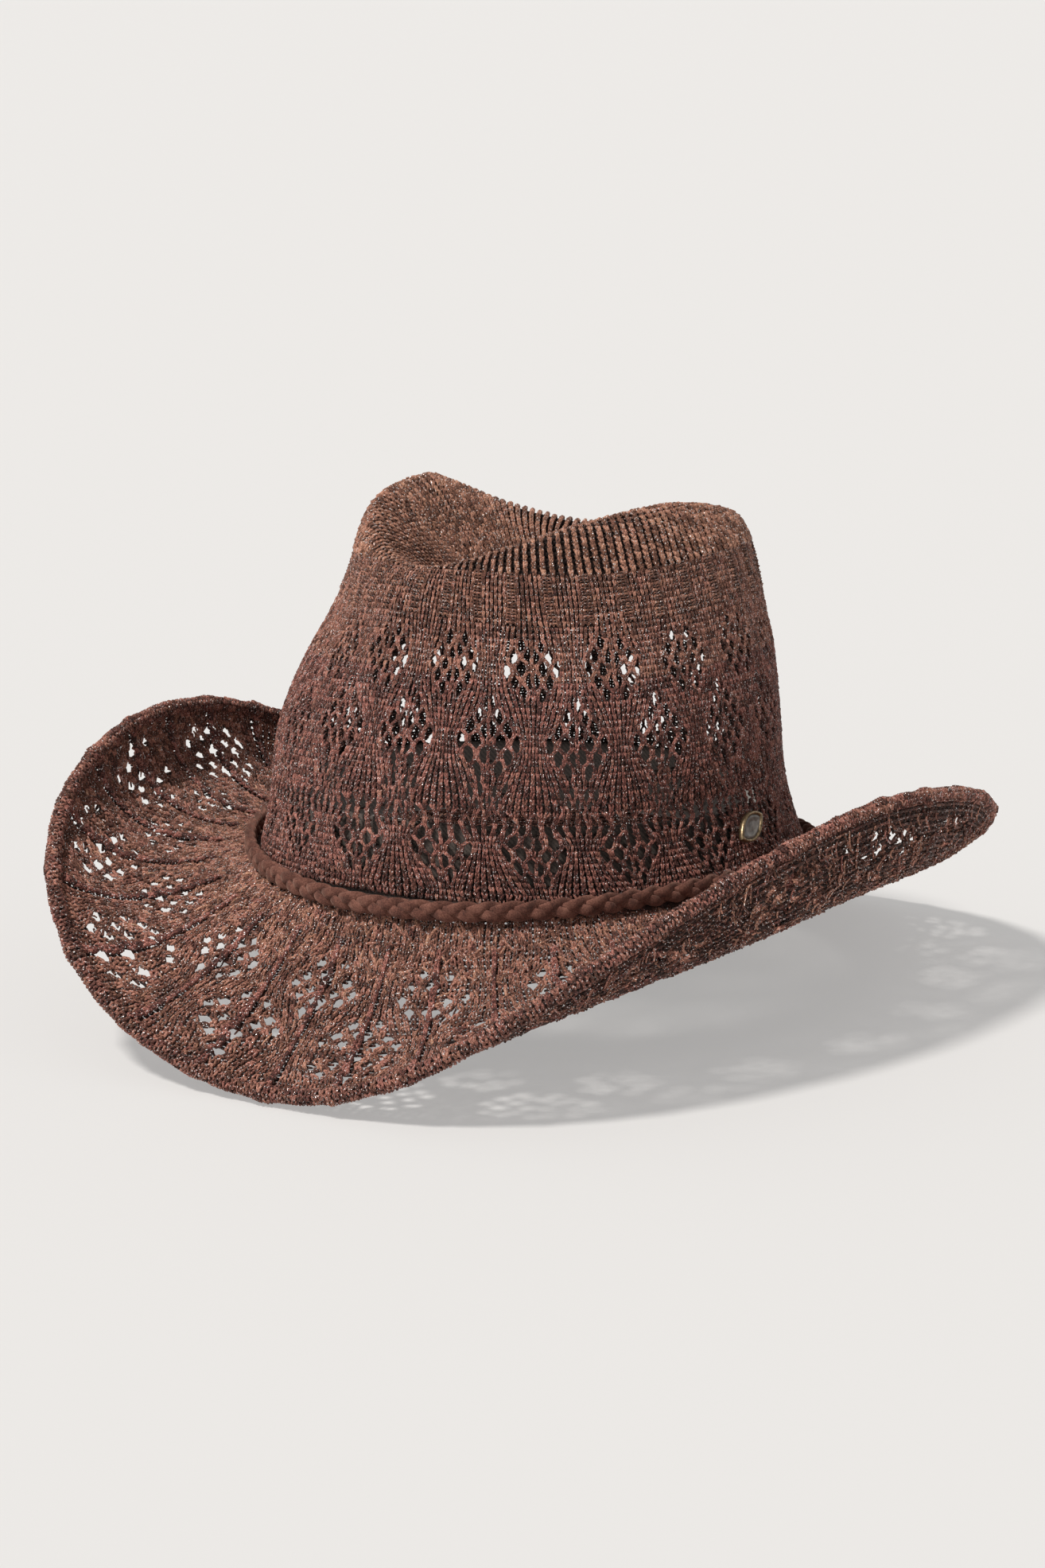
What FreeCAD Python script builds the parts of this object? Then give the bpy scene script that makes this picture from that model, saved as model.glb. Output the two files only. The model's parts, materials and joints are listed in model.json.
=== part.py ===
"""Soft open-lace cowboy hat: creased crown, rolled brim over a shaping wire, braided band, badge.

Frame: +Z up, the front of the hat towards -Y, the wearer's left towards +X, millimetres. The origin
is on the floor under the middle of the hat's bounding box.
"""
import FreeCAD, Part
import math
import os

import Sketcher

from FreeCAD import Placement, Rotation, Vector

os.makedirs("parts", exist_ok=True)
doc = FreeCAD.newDocument("CowboyHat")

# ---------------------------------------------------------------- driving dimensions

SIZES = {
    # where the middle of the head line stands above the floor and beside the origin
    "middle_left": 3.18,
    "middle_back": -4.58,
    "head_line_height": 47.99,
    # head line: the oval where crown and brim meet; it is higher at the front than at the back
    "head_half_width": 86.5,
    "head_half_length": 100.2,
    "head_front_rise": 8.35,
    "head_side_rise": 1.5,
    # knit
    "knit_thickness": 2.4,
    "crown_squareness": 0.045,
    "rear_left_fullness": 0.05,
    "pinch_depth": 8.5,
    "pinch_uneven": 0.35,
    "rear_settle": 11.0,
    "right_crest_rise": 2.2,
    # brim: width along the cloth, and the slope of the cloth in degrees at its root and at its rim.
    # mean holds all round, front adds at the front, ends adds front and back and takes at the sides,
    # corners adds at front left and back right and takes at the other two.
    "brim_width": 69.3,
    "root_slope_mean": -31.0,
    "root_slope_front": -4.8,
    "root_slope_ends": -20.8,
    "root_slope_corners": -12.6,
    "root_slope_left": -4.0,
    "root_slope_rear_sides": -12.0,
    "rim_slope_mean": 53.1,
    "rim_slope_front": -2.4,
    "rim_slope_ends": -59.8,
    "rim_slope_corners": 3.7,
    "rim_slope_left": 5.5,
    "rim_roll_left": 8.0,
    "rim_slope_thirds": -10.5,
    "rim_slope_quarters": -8.2,
    "roll_power": 1.64,
    # edge
    "binding_radius": 2.6,
    "binding_bore": 1.3,
    "wire_radius": 0.6,
    "sleeve_radius": 1.1,
    "sleeve_length": 16.0,
    # braided band
    "braid_turns": 27,
    "strand_half_width": 1.7,
    "strand_half_thickness": 0.82,
    "braid_rise": 1.6,
    "braid_weave": 1.14,
    "band_lift": 4.6,
    "band_offset": 2.05,
    "band_dip": 5.5,
    "band_dip_swell": 2.6,
    "band_dip_station": 15.6,
    "wrap_length": 14.0,
    "wrap_wall": 0.5,
    # sweatband, standing inside the head line
    "sweatband_height": 24.5,
    "sweatband_wall": 1.5,
    "sweatband_foot": -1.5,
    "sweatband_foot_half_width": 82.6,
    "sweatband_foot_half_length": 96.2,
    "sweatband_top_half_width": 76.0,
    "sweatband_top_half_length": 92.8,
    "sweatband_top_shift": -3.4,
    "stitch_count": 48,
    # badge
    "badge_length": 16.0,
    "badge_width": 8.6,
    "badge_thickness": 1.7,
    "badge_tilt": 20.0,
    "badge_station": 93.0,
    "badge_recess": 0.9,
}

# Rings of the crown's outer face, from the head line up over the ridge and down to the middle of the
# crease: half width, front, back, height at the sides, height in front, height behind. Measured from
# the middle of the head line.
CROWN_RINGS = [
    (79.6, -99.0, 93.6, 22.0, 26.0, 15.0),
    (76.0, -95.5, 89.9, 45.0, 46.0, 38.0),
    (70.0, -89.0, 87.8, 69.0, 66.0, 60.0),
    (62.0, -81.5, 86.0, 91.0, 83.0, 77.0),
    (54.3, -75.5, 83.8, 109.0, 97.0, 91.0),
    (47.0, -67.5, 78.0, 119.0, 105.0, 99.0),
    (38.0, -56.5, 63.0, 114.5, 102.0, 97.0),
    (27.0, -43.0, 48.0, 100.0, 93.0, 90.0),
    (14.0, -24.0, 29.0, 87.0, 85.0, 84.0),
    (1.5, 1.0, 4.0, 82.0, 82.0, 82.0),
]

sheet = doc.addObject("Spreadsheet::Sheet", "Sizes")
for row, (alias, value) in enumerate(SIZES.items(), start=1):
    sheet.set(f"A{row}", alias)
    sheet.set(f"B{row}", str(value))
    sheet.setAlias(f"B{row}", alias)
doc.recompute()


def size(alias):
    """The value of one driving dimension, read back from the sheet."""
    return float(getattr(sheet, alias))


PLACE = (
    "create(<<placement>>; create(<<vector>>; Sizes.middle_left; Sizes.middle_back; "
    "Sizes.head_line_height); create(<<rotation>>; create(<<vector>>; 1; 0; 0); 0))"
)


# ---------------------------------------------------------------- the hat's surfaces


def head_line(angle, grow=0.0, lift=0.0):
    """A point on the head line; angle 0 is the front and a quarter turn is the wearer's left."""
    height = size("head_front_rise") * math.cos(angle) - size("head_side_rise") * math.cos(2 * angle)
    return Vector(
        (size("head_half_width") + grow) * math.sin(angle),
        -(size("head_half_length") + grow) * math.cos(angle),
        height + lift,
    )


def outward(angle):
    """The level direction square to the head line."""
    across = Vector(
        math.sin(angle) / size("head_half_width"), -math.cos(angle) / size("head_half_length"), 0
    )
    return across.normalize()


def crown_sections(steps):
    """Crown rings with steps smooth in-between rings after each."""
    foot_height = size("head_side_rise")
    rise = size("head_front_rise")
    foot = (
        size("head_half_width") - 0.5,
        0.5 - size("head_half_length"),
        size("head_half_length") - 1.5,
        foot_height + 1.6,
        rise - foot_height + 1.6,
        1.6 - rise - foot_height,
    )
    rings = [foot] + CROWN_RINGS
    last = len(rings) - 1
    sections = []
    for index in range(last):
        before, here, after, beyond = (
            rings[min(max(index + step, 0), last)] for step in (-1, 0, 1, 2)
        )
        for step in range(steps):
            s = step / steps
            sections.append(
                [
                    0.5 * (2 * b + (c - a) * s + (2 * a - 5 * b + 4 * c - d) * s**2
                           + (3 * b - a - 3 * c + d) * s**3)
                    for a, b, c, d in zip(before, here, after, beyond)
                ]
            )
    sections.append(list(rings[last]))
    return sections


def crown_point(section, angle):
    """A point of the crown's outer face on one section."""
    half_width, front, back, side_height, front_height, back_height = section
    sine, cosine = math.sin(angle), math.cos(angle)
    height = side_height
    height += (front_height - side_height) * max(0.0, cosine) ** 3
    height += (back_height - side_height) * max(0.0, -cosine) ** 2
    top = min(max((height - 70) / 50, 0.0), 1.0)
    # the wearer's right rear of the soft crown has settled lower
    height -= size("rear_settle") * 2 * max(0.0, -sine) * max(0.0, -cosine) * top
    # while its right crest stands a little higher than the left one
    height += size("right_crest_rise") * max(0.0, -sine) ** 4 * top
    corner = 1 + size("crown_squareness") * min(max((height - 30) / 40, 0.0), 1.0) * math.sin(2 * angle) ** 2
    # and its left rear corner stands fuller towards the top
    full = min(max((height - 75) / 30, 0.0), 1.0)
    corner += size("rear_left_fullness") * 2 * max(0.0, sine) * max(0.0, -cosine) * full
    x = half_width * sine * corner
    y = (front + back) / 2 - (back - front) / 2 * cosine * corner
    reach = math.hypot(x, y) + 1e-6
    # both front corners of the crown are pinched in
    bearing = abs(math.degrees(angle))
    pinch = size("pinch_depth") * (1 - size("pinch_uneven") * sine)
    pinch *= math.exp(-(((bearing - 40) / 26) ** 2) - ((height - 90) / 28) ** 2)
    return Vector(x - pinch * x / reach, y - pinch * y / reach, height)


def brim_slopes(angle):
    """The slope of the brim's cloth at its root and at its rim, in radians."""
    root = (
        size("root_slope_mean")
        + size("root_slope_front") * math.cos(angle)
        + size("root_slope_ends") * math.cos(2 * angle)
        + size("root_slope_corners") * math.sin(2 * angle)
        + size("root_slope_left") * max(0.0, math.sin(angle)) ** 2
        + size("root_slope_rear_sides") * math.sin(angle) ** 2 * max(0.0, -math.cos(angle))
    )
    rim = (
        size("rim_slope_mean")
        + size("rim_slope_front") * math.cos(angle)
        + size("rim_slope_ends") * math.cos(2 * angle)
        + size("rim_slope_corners") * math.sin(2 * angle)
        + size("rim_slope_left") * math.sin(angle)
        + size("rim_roll_left") * max(0.0, math.sin(angle)) ** 2
        + size("rim_slope_thirds") * math.cos(3 * angle)
        + size("rim_slope_quarters") * math.cos(4 * angle)
    )
    return math.radians(root), math.radians(rim)


def brim_profile(angle, steps, length):
    """Points of the brim's middle layer from the head line outwards, over length of cloth."""
    root, rim = brim_slopes(angle)
    away = outward(angle)
    point = head_line(angle, grow=-1.7)
    full = size("brim_width") + 1.7
    points = [point]
    for step in range(steps):
        share = (step + 0.5) / steps * length / full
        slope = root + (rim - root) * share ** size("roll_power")
        stride = length / steps
        point = point + away * (math.cos(slope) * stride) + Vector(0, 0, math.sin(slope) * stride)
        points.append(point)
    return points


def edge_point(angle):
    """The middle of the rolled edge."""
    return brim_profile(angle, 40, size("brim_width") + 1.7)[-1]


# ---------------------------------------------------------------- solids from grids of points

ROUND = 60  # stations round the hat


def stations(count=ROUND):
    return [-math.pi + 2 * math.pi * i / count for i in range(count)]


def spline_through(points, closed):
    """A spline through points at even parameters; a closed one runs back to its first point."""
    curve = Part.BSplineCurve()
    count = len(points) + (1 if closed else 0)
    curve.interpolate(Points=points, PeriodicFlag=closed, Parameters=[float(i) for i in range(count)])
    return curve


def grid_faces(rows, closed=False, pieces=1):
    """Smooth faces through rows of points, split into pieces that meet exactly; every row is a closed
    ring, and closed joins the last row to the first."""
    rings = [spline_through(list(row), True) for row in rows]
    columns = [spline_through(list(line), closed) for line in zip(*(ring.getPoles() for ring in rings))]
    spans = len(rows) if closed else len(rows) - 1
    whole = closed and pieces == 1
    faces = []
    for piece in range(pieces):
        parts = [column.copy() for column in columns]
        if pieces > 1:
            for part in parts:
                part.segment(round(spans * piece / pieces), round(spans * (piece + 1) / pieces))
        surface = Part.BSplineSurface()
        surface.buildFromPolesMultsKnots(
            [list(line) for line in zip(*(part.getPoles() for part in parts))],
            parts[0].getMultiplicities(), rings[0].getMultiplicities(),
            parts[0].getKnots(), rings[0].getKnots(),
            whole, True, 3, 3,
        )
        faces.append(surface.toShape())
    return faces


def grid_face(rows, closed=False):
    return grid_faces(rows, closed)[0]


def ring_edge(face, point):
    """The edge of a face that passes through a point and isn't the seam."""
    vertex = Part.Vertex(point)
    edges = [edge for edge in face.Edges if edge.isClosed()]
    return min(edges, key=lambda edge: edge.distToShape(vertex)[0])


def closed_solid(faces):
    """The solid that a closed set of faces bounds."""
    shell = Part.makeShell(faces)
    shell.sewShape(0.01)
    solid = Part.makeSolid(Part.makeShell(shell.Faces))
    solid.fix(0.001, 0.001, 0.001)
    if solid.Volume < 0:
        solid.reverse()
    return solid


def skin(outer, inner):
    """A closed solid between two open surfaces given as rows of points."""
    outer_face, inner_face = grid_face(outer), grid_face(inner)
    ends = []
    for index in (0, -1):
        near = ring_edge(outer_face, outer[index][7])
        far = ring_edge(inner_face, inner[index][7])
        ends.append(Part.makeRuledSurface(near, far))
    return closed_solid([outer_face, inner_face] + ends)


def normals(rows):
    """The direction square to the surface at every point of a grid."""
    result = []
    for i, row in enumerate(rows):
        above, below = rows[min(i + 1, len(rows) - 1)], rows[max(i - 1, 0)]
        count = len(row)
        result.append([
            (row[(j + 1) % count] - row[j - 1]).cross(above[j] - below[j]).normalize()
            for j in range(count)
        ])
    return result


def shifted(rows, directions, distance):
    return [
        [point + direction * distance for point, direction in zip(row, line)]
        for row, line in zip(rows, directions)
    ]


def sections_along(path, half_out, half_up, around, closed=False):
    """Oval sections square to a path of points; half_out is level and half_up is upright."""
    last = len(path) - 1
    sections = []
    for i, point in enumerate(path):
        ahead = path[(i + 1) % len(path)] if closed else path[min(i + 1, last)]
        behind = path[i - 1] if closed else path[max(i - 1, 0)]
        along = (ahead - behind).normalize()
        side = along.cross(Vector(0, 0, 1)).normalize()
        top = side.cross(along)
        turns = [2 * math.pi * k / around for k in range(around)]
        sections.append(
            [point + side * (half_out * math.cos(turn)) + top * (half_up * math.sin(turn)) for turn in turns]
        )
    return sections


def closed_tube(path, radius, around=12):
    sections = sections_along(path, radius, radius, around, closed=True)
    return closed_solid(grid_faces(sections, closed=True, pieces=12))


def bar(path, half_out, half_up, around=16):
    """A solid bar of oval section along an open path, with flat ends."""
    sections = sections_along(path, half_out, half_up, around)
    side_faces = grid_faces(sections, pieces=max(1, len(path) // 12))
    caps = []
    for index, inside in ((0, 1), (-1, -2)):
        cap = Part.Face(Part.Wire([ring_edge(side_faces[index], sections[index][3])]))
        if cap.normalAt(0, 0).dot(path[inside] - path[index]) > 0:
            cap.reverse()
        caps.append(cap)
    return closed_solid(side_faces + caps)


def add_part(name, shape, **bound):
    """A sub-part with its shape, its place on the hat and the dimensions it follows."""
    feature = doc.addObject("Part::Feature", name)
    feature.Label = name
    feature.Shape = shape
    for dimension, alias in bound.items():
        feature.addProperty("App::PropertyFloat", dimension, "Hat")
        feature.setExpression(dimension, f"Sizes.{alias}")
    feature.setExpression("Placement", PLACE)
    return feature


# ---------------------------------------------------------------- crown and brim

angles = stations()
crown_angles = stations(48)
crown_rows = [[crown_point(section, angle) for angle in crown_angles] for section in crown_sections(1)]
crown_normals = normals(crown_rows)
thickness = size("knit_thickness")
crown_skin = skin(crown_rows, shifted(crown_rows, crown_normals, -thickness))

cloth = size("brim_width") + 1.7 - size("binding_radius") - 0.3
brim_columns = [brim_profile(angle, 10, cloth) for angle in angles]
brim_rows = [list(row) for row in zip(*brim_columns)]
brim_normals = normals(brim_rows)
brim_skin = skin(
    shifted(brim_rows, brim_normals, thickness / 2), shifted(brim_rows, brim_normals, -thickness / 2)
)
add_part("brim_knit", brim_skin, Width="brim_width", Thickness="knit_thickness")

# ---------------------------------------------------------------- rolled edge, wire and sleeve

edge_path = [edge_point(angle) for angle in angles]
casing = closed_tube(edge_path, size("binding_radius")).cut(closed_tube(edge_path, size("binding_bore"))).Solids[0]
add_part("edge_binding", casing, Radius="binding_radius", Bore="binding_bore")


def edge_stretch(first, last, count):
    """Points along the rolled edge between two angles."""
    return [edge_point(first + (last - first) * i / count) for i in range(count + 1)]


def round_bar(path, radius):
    return bar(path, radius, radius, around=8)


wire_gap = math.radians(0.3)
wire_path = edge_stretch(wire_gap - math.pi, math.pi - wire_gap, 96)
add_part("brim_wire", round_bar(wire_path, size("wire_radius")), Radius="wire_radius")

reach = size("sleeve_length") / 2 / edge_point(math.pi).Length
sleeve_path = edge_stretch(math.pi - reach, math.pi + reach, 8)
sleeve = round_bar(sleeve_path, size("sleeve_radius")).cut(
    round_bar(sleeve_path, size("wire_radius") + 0.05)
)
add_part("wire_sleeve", sleeve, Radius="sleeve_radius", Length="sleeve_length")

# ---------------------------------------------------------------- braided band


def band_point(angle, out=0.0, up=0.0):
    """A point of the band's middle line, out from the crown and up from it. In front the band has
    slipped down the brim's steep root, and so it stands out further there."""
    slip = max(0.0, math.cos(angle - math.radians(size("band_dip_station")))) ** 2
    lift = size("band_lift") - size("band_dip") * slip + up
    stand_off = size("band_offset") + size("band_dip_swell") * slip + out
    return head_line(angle, lift=lift) + outward(angle) * stand_off


def strand_path(strand):
    """One strand of a plain three-strand braid, from one side of the wrap round to the other."""
    gap = math.radians(0.4)
    turns = size("braid_turns")
    count = int(turns * 9)
    path = []
    for i in range(count + 1):
        angle = -math.pi + gap + (2 * math.pi - 2 * gap) * i / count
        phase = turns * angle + strand * 2 * math.pi / 3
        path.append(
            band_point(angle, size("braid_weave") * math.sin(2 * phase), size("braid_rise") * math.sin(phase))
        )
    return path


for strand, letter in enumerate("abc"):
    path = strand_path(strand)
    strip = bar(path, size("strand_half_thickness"), size("strand_half_width"), around=10)
    add_part(f"strand_{letter}", strip, HalfWidth="strand_half_width", HalfThickness="strand_half_thickness")

wrap_reach = size("wrap_length") / 2 / size("head_half_length")
wrap_path = [band_point(math.pi + wrap_reach * (i / 6 - 1)) for i in range(13)]
inside_height = size("braid_rise") + size("strand_half_width") + 0.1
inside_depth = size("braid_weave") + size("strand_half_thickness") + 0.1
wall = size("wrap_wall")
wrap = bar(wrap_path, inside_depth * 1.25 + wall, inside_height * 1.15 + wall).cut(
    bar(wrap_path, inside_depth * 1.25, inside_height * 1.15)
)
add_part("band_wrap", wrap, Length="wrap_length", Wall="wrap_wall")

# ---------------------------------------------------------------- sweatband

HEAD_TILT = (
    "create(<<placement>>; create(<<vector>>; Sizes.middle_left; Sizes.middle_back; "
    "Sizes.head_line_height); create(<<rotation>>; create(<<vector>>; 1; 0; 0); "
    "-atan(Sizes.head_front_rise / Sizes.head_half_length)))"
)


def oval(name, half_width, half_length, height, shift="0"):
    """An oval section of the sweatband, its sizes given as expressions on the sheet."""
    ellipse = doc.addObject("Part::Ellipse", name)
    ellipse.setExpression("MajorRadius", half_length)
    ellipse.setExpression("MinorRadius", half_width)
    ellipse.setExpression("Placement", (
        f"create(<<placement>>; create(<<vector>>; 0; {shift}; {height}); "
        "create(<<rotation>>; create(<<vector>>; 0; 0; 1); 90))"
    ))
    return ellipse


def oval_loft(name, inset, overrun):
    """A leaning oval solid from the sweatband's foot to its top, drawn in by inset."""
    low = oval(
        f"{name}_low", f"Sizes.sweatband_foot_half_width - {inset}",
        f"Sizes.sweatband_foot_half_length - {inset}", f"Sizes.sweatband_foot - {overrun}",
    )
    high = oval(
        f"{name}_high", f"Sizes.sweatband_top_half_width - {inset}",
        f"Sizes.sweatband_top_half_length - {inset}",
        f"Sizes.sweatband_foot + Sizes.sweatband_height + {overrun}", "Sizes.sweatband_top_shift",
    )
    loft = doc.addObject("Part::Loft", name)
    loft.Sections = [low, high]
    loft.Solid = True
    return loft


def cut(name, base, tool):
    result = doc.addObject("Part::Cut", name)
    result.Base = base
    result.Tool = tool
    result.Label = name
    return result


band_blank = cut("sweatband_blank", oval_loft("sweatband_outside", "0", "0"),
                 oval_loft("sweatband_inside", "Sizes.sweatband_wall", "0.01"))
band_blank.setExpression("Placement", HEAD_TILT)
doc.recompute()


def sweatband_inside(angle, share, inset=0.0):
    """A point on the sweatband's inner face, share of the way up it, in the head line's own frame."""
    def between(low, high):
        return low + (high - low) * share

    inset = inset + size("sweatband_wall")
    half_width = between(size("sweatband_foot_half_width"), size("sweatband_top_half_width")) - inset
    half_length = between(size("sweatband_foot_half_length"), size("sweatband_top_half_length")) - inset
    return Vector(
        half_width * math.sin(angle),
        -half_length * math.cos(angle) + between(0, size("sweatband_top_shift")),
        size("sweatband_foot") + between(0, size("sweatband_height")),
    )


def against_sweatband(angle, share, gap):
    """A frame on the sweatband's inner face: X along it, Y up it, Z towards the head."""
    point = sweatband_inside(angle, share, gap)
    along = sweatband_inside(angle + 0.02, share) - sweatband_inside(angle - 0.02, share)
    up = sweatband_inside(angle, 1.0) - sweatband_inside(angle, 0.0)
    inward = up.cross(along)
    if inward.dot(Vector(point.x, point.y, 0)) > 0:
        inward = -inward
    return Placement(point, Rotation(up.cross(inward), up, inward, "ZYX"))


def tilted_part(name, shape):
    feature = doc.addObject("Part::Feature", name)
    feature.Label = name
    feature.Shape = shape
    feature.setExpression("Placement", HEAD_TILT)
    return feature


def block(length, height, depth, where):
    """A block centred on a frame, depth along its Z from its face."""
    box = Part.makeBox(length, height, depth, Vector(-length / 2, -height / 2, 0))
    box.Placement = where
    return Part.makeCompound([box])


thread = 0.3
stitches = []
for number in range(int(size("stitch_count"))):
    angle = 2 * math.pi * number / size("stitch_count")
    start = sweatband_inside(angle, 0.12, thread + 0.1)
    end = sweatband_inside(angle + 0.065, 0.12, thread + 0.1)
    stitches.append(Part.makeCylinder(thread, (end - start).Length, start, end - start))
tilted_part("sweatband_stitches", Part.makeCompound(stitches))

tilted_part("sweatband_tab", block(12, 17, 0.7, against_sweatband(math.pi, 0.58, 0.45)))

label_place = against_sweatband(math.radians(150), 0.62, 0.9)
label_leaf, label_gap, label_height, label_length = 0.5, 0.4, 14.0, 24.0
folded = block(label_length, label_height, 2 * label_leaf + label_gap, label_place)
between_leaves = Part.makeBox(
    label_length + 2, label_height, label_gap,
    Vector(-label_length / 2 - 1, -label_height / 2 + label_leaf, label_leaf),
)
between_leaves.Placement = label_place
tilted_part("size_label", folded.cut(between_leaves))

# ---------------------------------------------------------------- thread tacks behind the braid

tacks = []
for number in range(6):
    angle = math.pi / 6 + number * math.pi / 3
    foot = band_point(angle, out=-2.35, up=-2.2)
    tacks.append(Part.makeCylinder(0.25, 4.4, foot, Vector(0, 0, 1)))
add_part("band_tacks", Part.makeCompound(tacks))

# ---------------------------------------------------------------- badge

station = math.radians(size("badge_station"))
low_sections = crown_sections(12)


def crown_spot(angle, index):
    return crown_point(low_sections[index], angle)


BADGE_SECTION = 10
spot = crown_spot(station, BADGE_SECTION)
along = (crown_spot(station + 0.03, BADGE_SECTION) - crown_spot(station - 0.03, BADGE_SECTION)).normalize()
upward = (crown_spot(station, BADGE_SECTION + 1) - crown_spot(station, BADGE_SECTION - 1)).normalize()
facing = along.cross(upward).normalize()
middle = Vector(size("middle_left"), size("middle_back"), size("head_line_height"))
badge_place = Placement(spot + middle, Rotation(along, upward, facing, "ZXY"))
badge_place = badge_place * Placement(Vector(0, 0, 0), Rotation(Vector(0, 0, 1), size("badge_tilt")))
CLEAR = 0.4


def almond_sketch(body, name, margin, height):
    """A pointed oval between two arcs, margin inside the badge's outline, at a height on the body."""
    length = size("badge_length") - 3 * margin
    width = size("badge_width") - 2 * margin
    radius = (length**2 + width**2) / (4 * width)
    sketch = body.newObject("Sketcher::SketchObject", name)
    sketch.AttachmentSupport = [(body.Origin.OriginFeatures[3], "")]
    sketch.MapMode = "FlatFace"
    sketch.AttachmentOffset = Placement(Vector(0, 0, height), Rotation())
    reach = math.asin(length / 2 / radius)
    for sign in (1, -1):
        circle = Part.Circle(Vector(0, sign * (width / 2 - radius), 0), Vector(0, 0, 1), radius)
        middle_turn = sign * math.pi / 2
        sketch.addGeometry(Part.ArcOfCircle(circle, middle_turn - reach, middle_turn + reach))
    # arc 0 runs from the right tip over the top to the left tip, arc 1 back underneath
    constraints = [
        Sketcher.Constraint("Coincident", 0, 1, 1, 2),
        Sketcher.Constraint("Coincident", 0, 2, 1, 1),
        Sketcher.Constraint("Symmetric", 0, 1, 0, 2, -1, 1),
        Sketcher.Constraint("PointOnObject", 0, 1, -1),
        Sketcher.Constraint("DistanceX", 0, 2, 0, 1, length),
        Sketcher.Constraint("Radius", 0, radius),
        Sketcher.Constraint("Radius", 1, radius),
    ]
    sketch.addConstraint(constraints)
    long_size = f"(Sizes.badge_length - {3 * margin})"
    wide_size = f"(Sizes.badge_width - {2 * margin})"
    sketch.setExpression("Constraints[4]", long_size)
    for index in (5, 6):
        sketch.setExpression(f"Constraints[{index}]", f"({long_size}^2 + {wide_size}^2) / (4 * {wide_size})")
    return sketch


rim = doc.addObject("PartDesign::Body", "badge_rim")
rim.Placement = badge_place
plate = rim.newObject("PartDesign::Pad", "Plate")
plate.Profile = almond_sketch(rim, "Outline", 0.0, CLEAR)
plate.setExpression("Length", "Sizes.badge_thickness")
doc.recompute()
dish = rim.newObject("PartDesign::Pocket", "Dish")
dish.Profile = almond_sketch(rim, "Recess", 1.0, CLEAR + size("badge_thickness"))
dish.setExpression("Length", "Sizes.badge_recess")
rim.Tip = dish
doc.recompute()


def badge_box(name, length, height, depth, centre, low):
    """A box in the badge's frame, centred at centre and rising from low."""
    box = doc.addObject("Part::Box", name)
    box.Length, box.Width, box.Height = length, height, depth
    box.Placement = badge_place * Placement(centre + Vector(-length / 2, -height / 2, low), Rotation())
    return box


def gather(kind, name, pieces):
    result = doc.addObject(kind, name)
    if kind == "Part::Compound":
        result.Links = pieces
    else:
        result.Shapes = pieces
    return result


LEG_BOTTOM = -6.3
prong_boxes, slot_boxes, plate_slots = [], [], []
for side, sign in (("rear", 1), ("front", -1)):
    leg = Vector(sign * 4.0, 0, 0)
    prong_boxes.append(badge_box(f"leg_{side}", 0.6, 1.2, CLEAR + 0.2 - LEG_BOTTOM, leg, LEG_BOTTOM))
    bend = Vector(sign * 3.0, 0, 0)
    prong_boxes.append(badge_box(f"bend_{side}", 2.6, 1.2, 0.45, bend, LEG_BOTTOM))
    slot_boxes.append(badge_box(f"slot_{side}", 1.1, 1.8, 9.0, leg, -8.5))
    plate_slots.append(badge_box(f"plate_slot_{side}", 0.9, 1.5, 3.0, leg, -7.0))

frame = gather("Part::MultiFuse", "badge_frame", [rim] + prong_boxes)
frame.Label = "badge_frame"

inlay = doc.addObject("PartDesign::Body", "badge_face")
inlay.Label = "badge_face"
inlay.Placement = badge_place
inlay_pad = inlay.newObject("PartDesign::Pad", "Inlay")
inlay_floor = CLEAR + size("badge_thickness") - size("badge_recess") + 0.02
inlay_pad.Profile = almond_sketch(inlay, "InlayOutline", 1.06, inlay_floor)
inlay_pad.setExpression("Length", "Sizes.badge_recess - 0.4")
inlay.Tip = inlay_pad

disc = doc.addObject("Part::Cylinder", "backplate_disc")
disc.Radius, disc.Height = 5.0, 0.4
disc.Placement = badge_place * Placement(Vector(0, 0, -5.75), Rotation())
cut("badge_backplate", disc, gather("Part::Compound", "plate_slots", plate_slots))

slots = gather("Part::Compound", "prong_slots", slot_boxes)
crown_blank = add_part("crown_blank", crown_skin, Thickness="knit_thickness")
cut("crown_knit", crown_blank, slots)
cut("sweatband", band_blank, slots)
doc.recompute()

# ---------------------------------------------------------------- checks and files

NODES = [
    "crown_knit", "brim_knit", "edge_binding", "brim_wire", "wire_sleeve",
    "strand_a", "strand_b", "strand_c", "band_wrap", "band_tacks",
    "sweatband", "sweatband_stitches", "sweatband_tab", "size_label",
    "badge_frame", "badge_face", "badge_backplate",
]
for feature in doc.Objects:
    trouble = {"Invalid", "Error"} & set(feature.State)
    assert not trouble, f"{feature.Label}: {trouble}"
for node in NODES:
    found = [feature for feature in doc.Objects if feature.Label == node]
    assert len(found) == 1, f"{node}: {len(found)} objects"
    shape = found[0].Shape
    assert not shape.isNull() and shape.isValid(), node
    shape.exportStep(f"parts/{node}.step")
    box = shape.BoundBox
    print(node, len(shape.Solids), round(shape.Volume, 1),
          [round(v, 1) for v in (box.XMin, box.XMax, box.YMin, box.YMax, box.ZMin, box.ZMax)])
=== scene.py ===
"""Looks of the knitted lace cowboy hat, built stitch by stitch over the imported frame.

Surfaces are worked out in millimetres from the middle of the head line, with the angle t at 0 in front
and a quarter turn at the wearer's left, and become metres in the hat's frame when a mesh is made.
"""
import json
import math

import bpy
import numpy as np
from mathutils import Matrix, Vector


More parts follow.
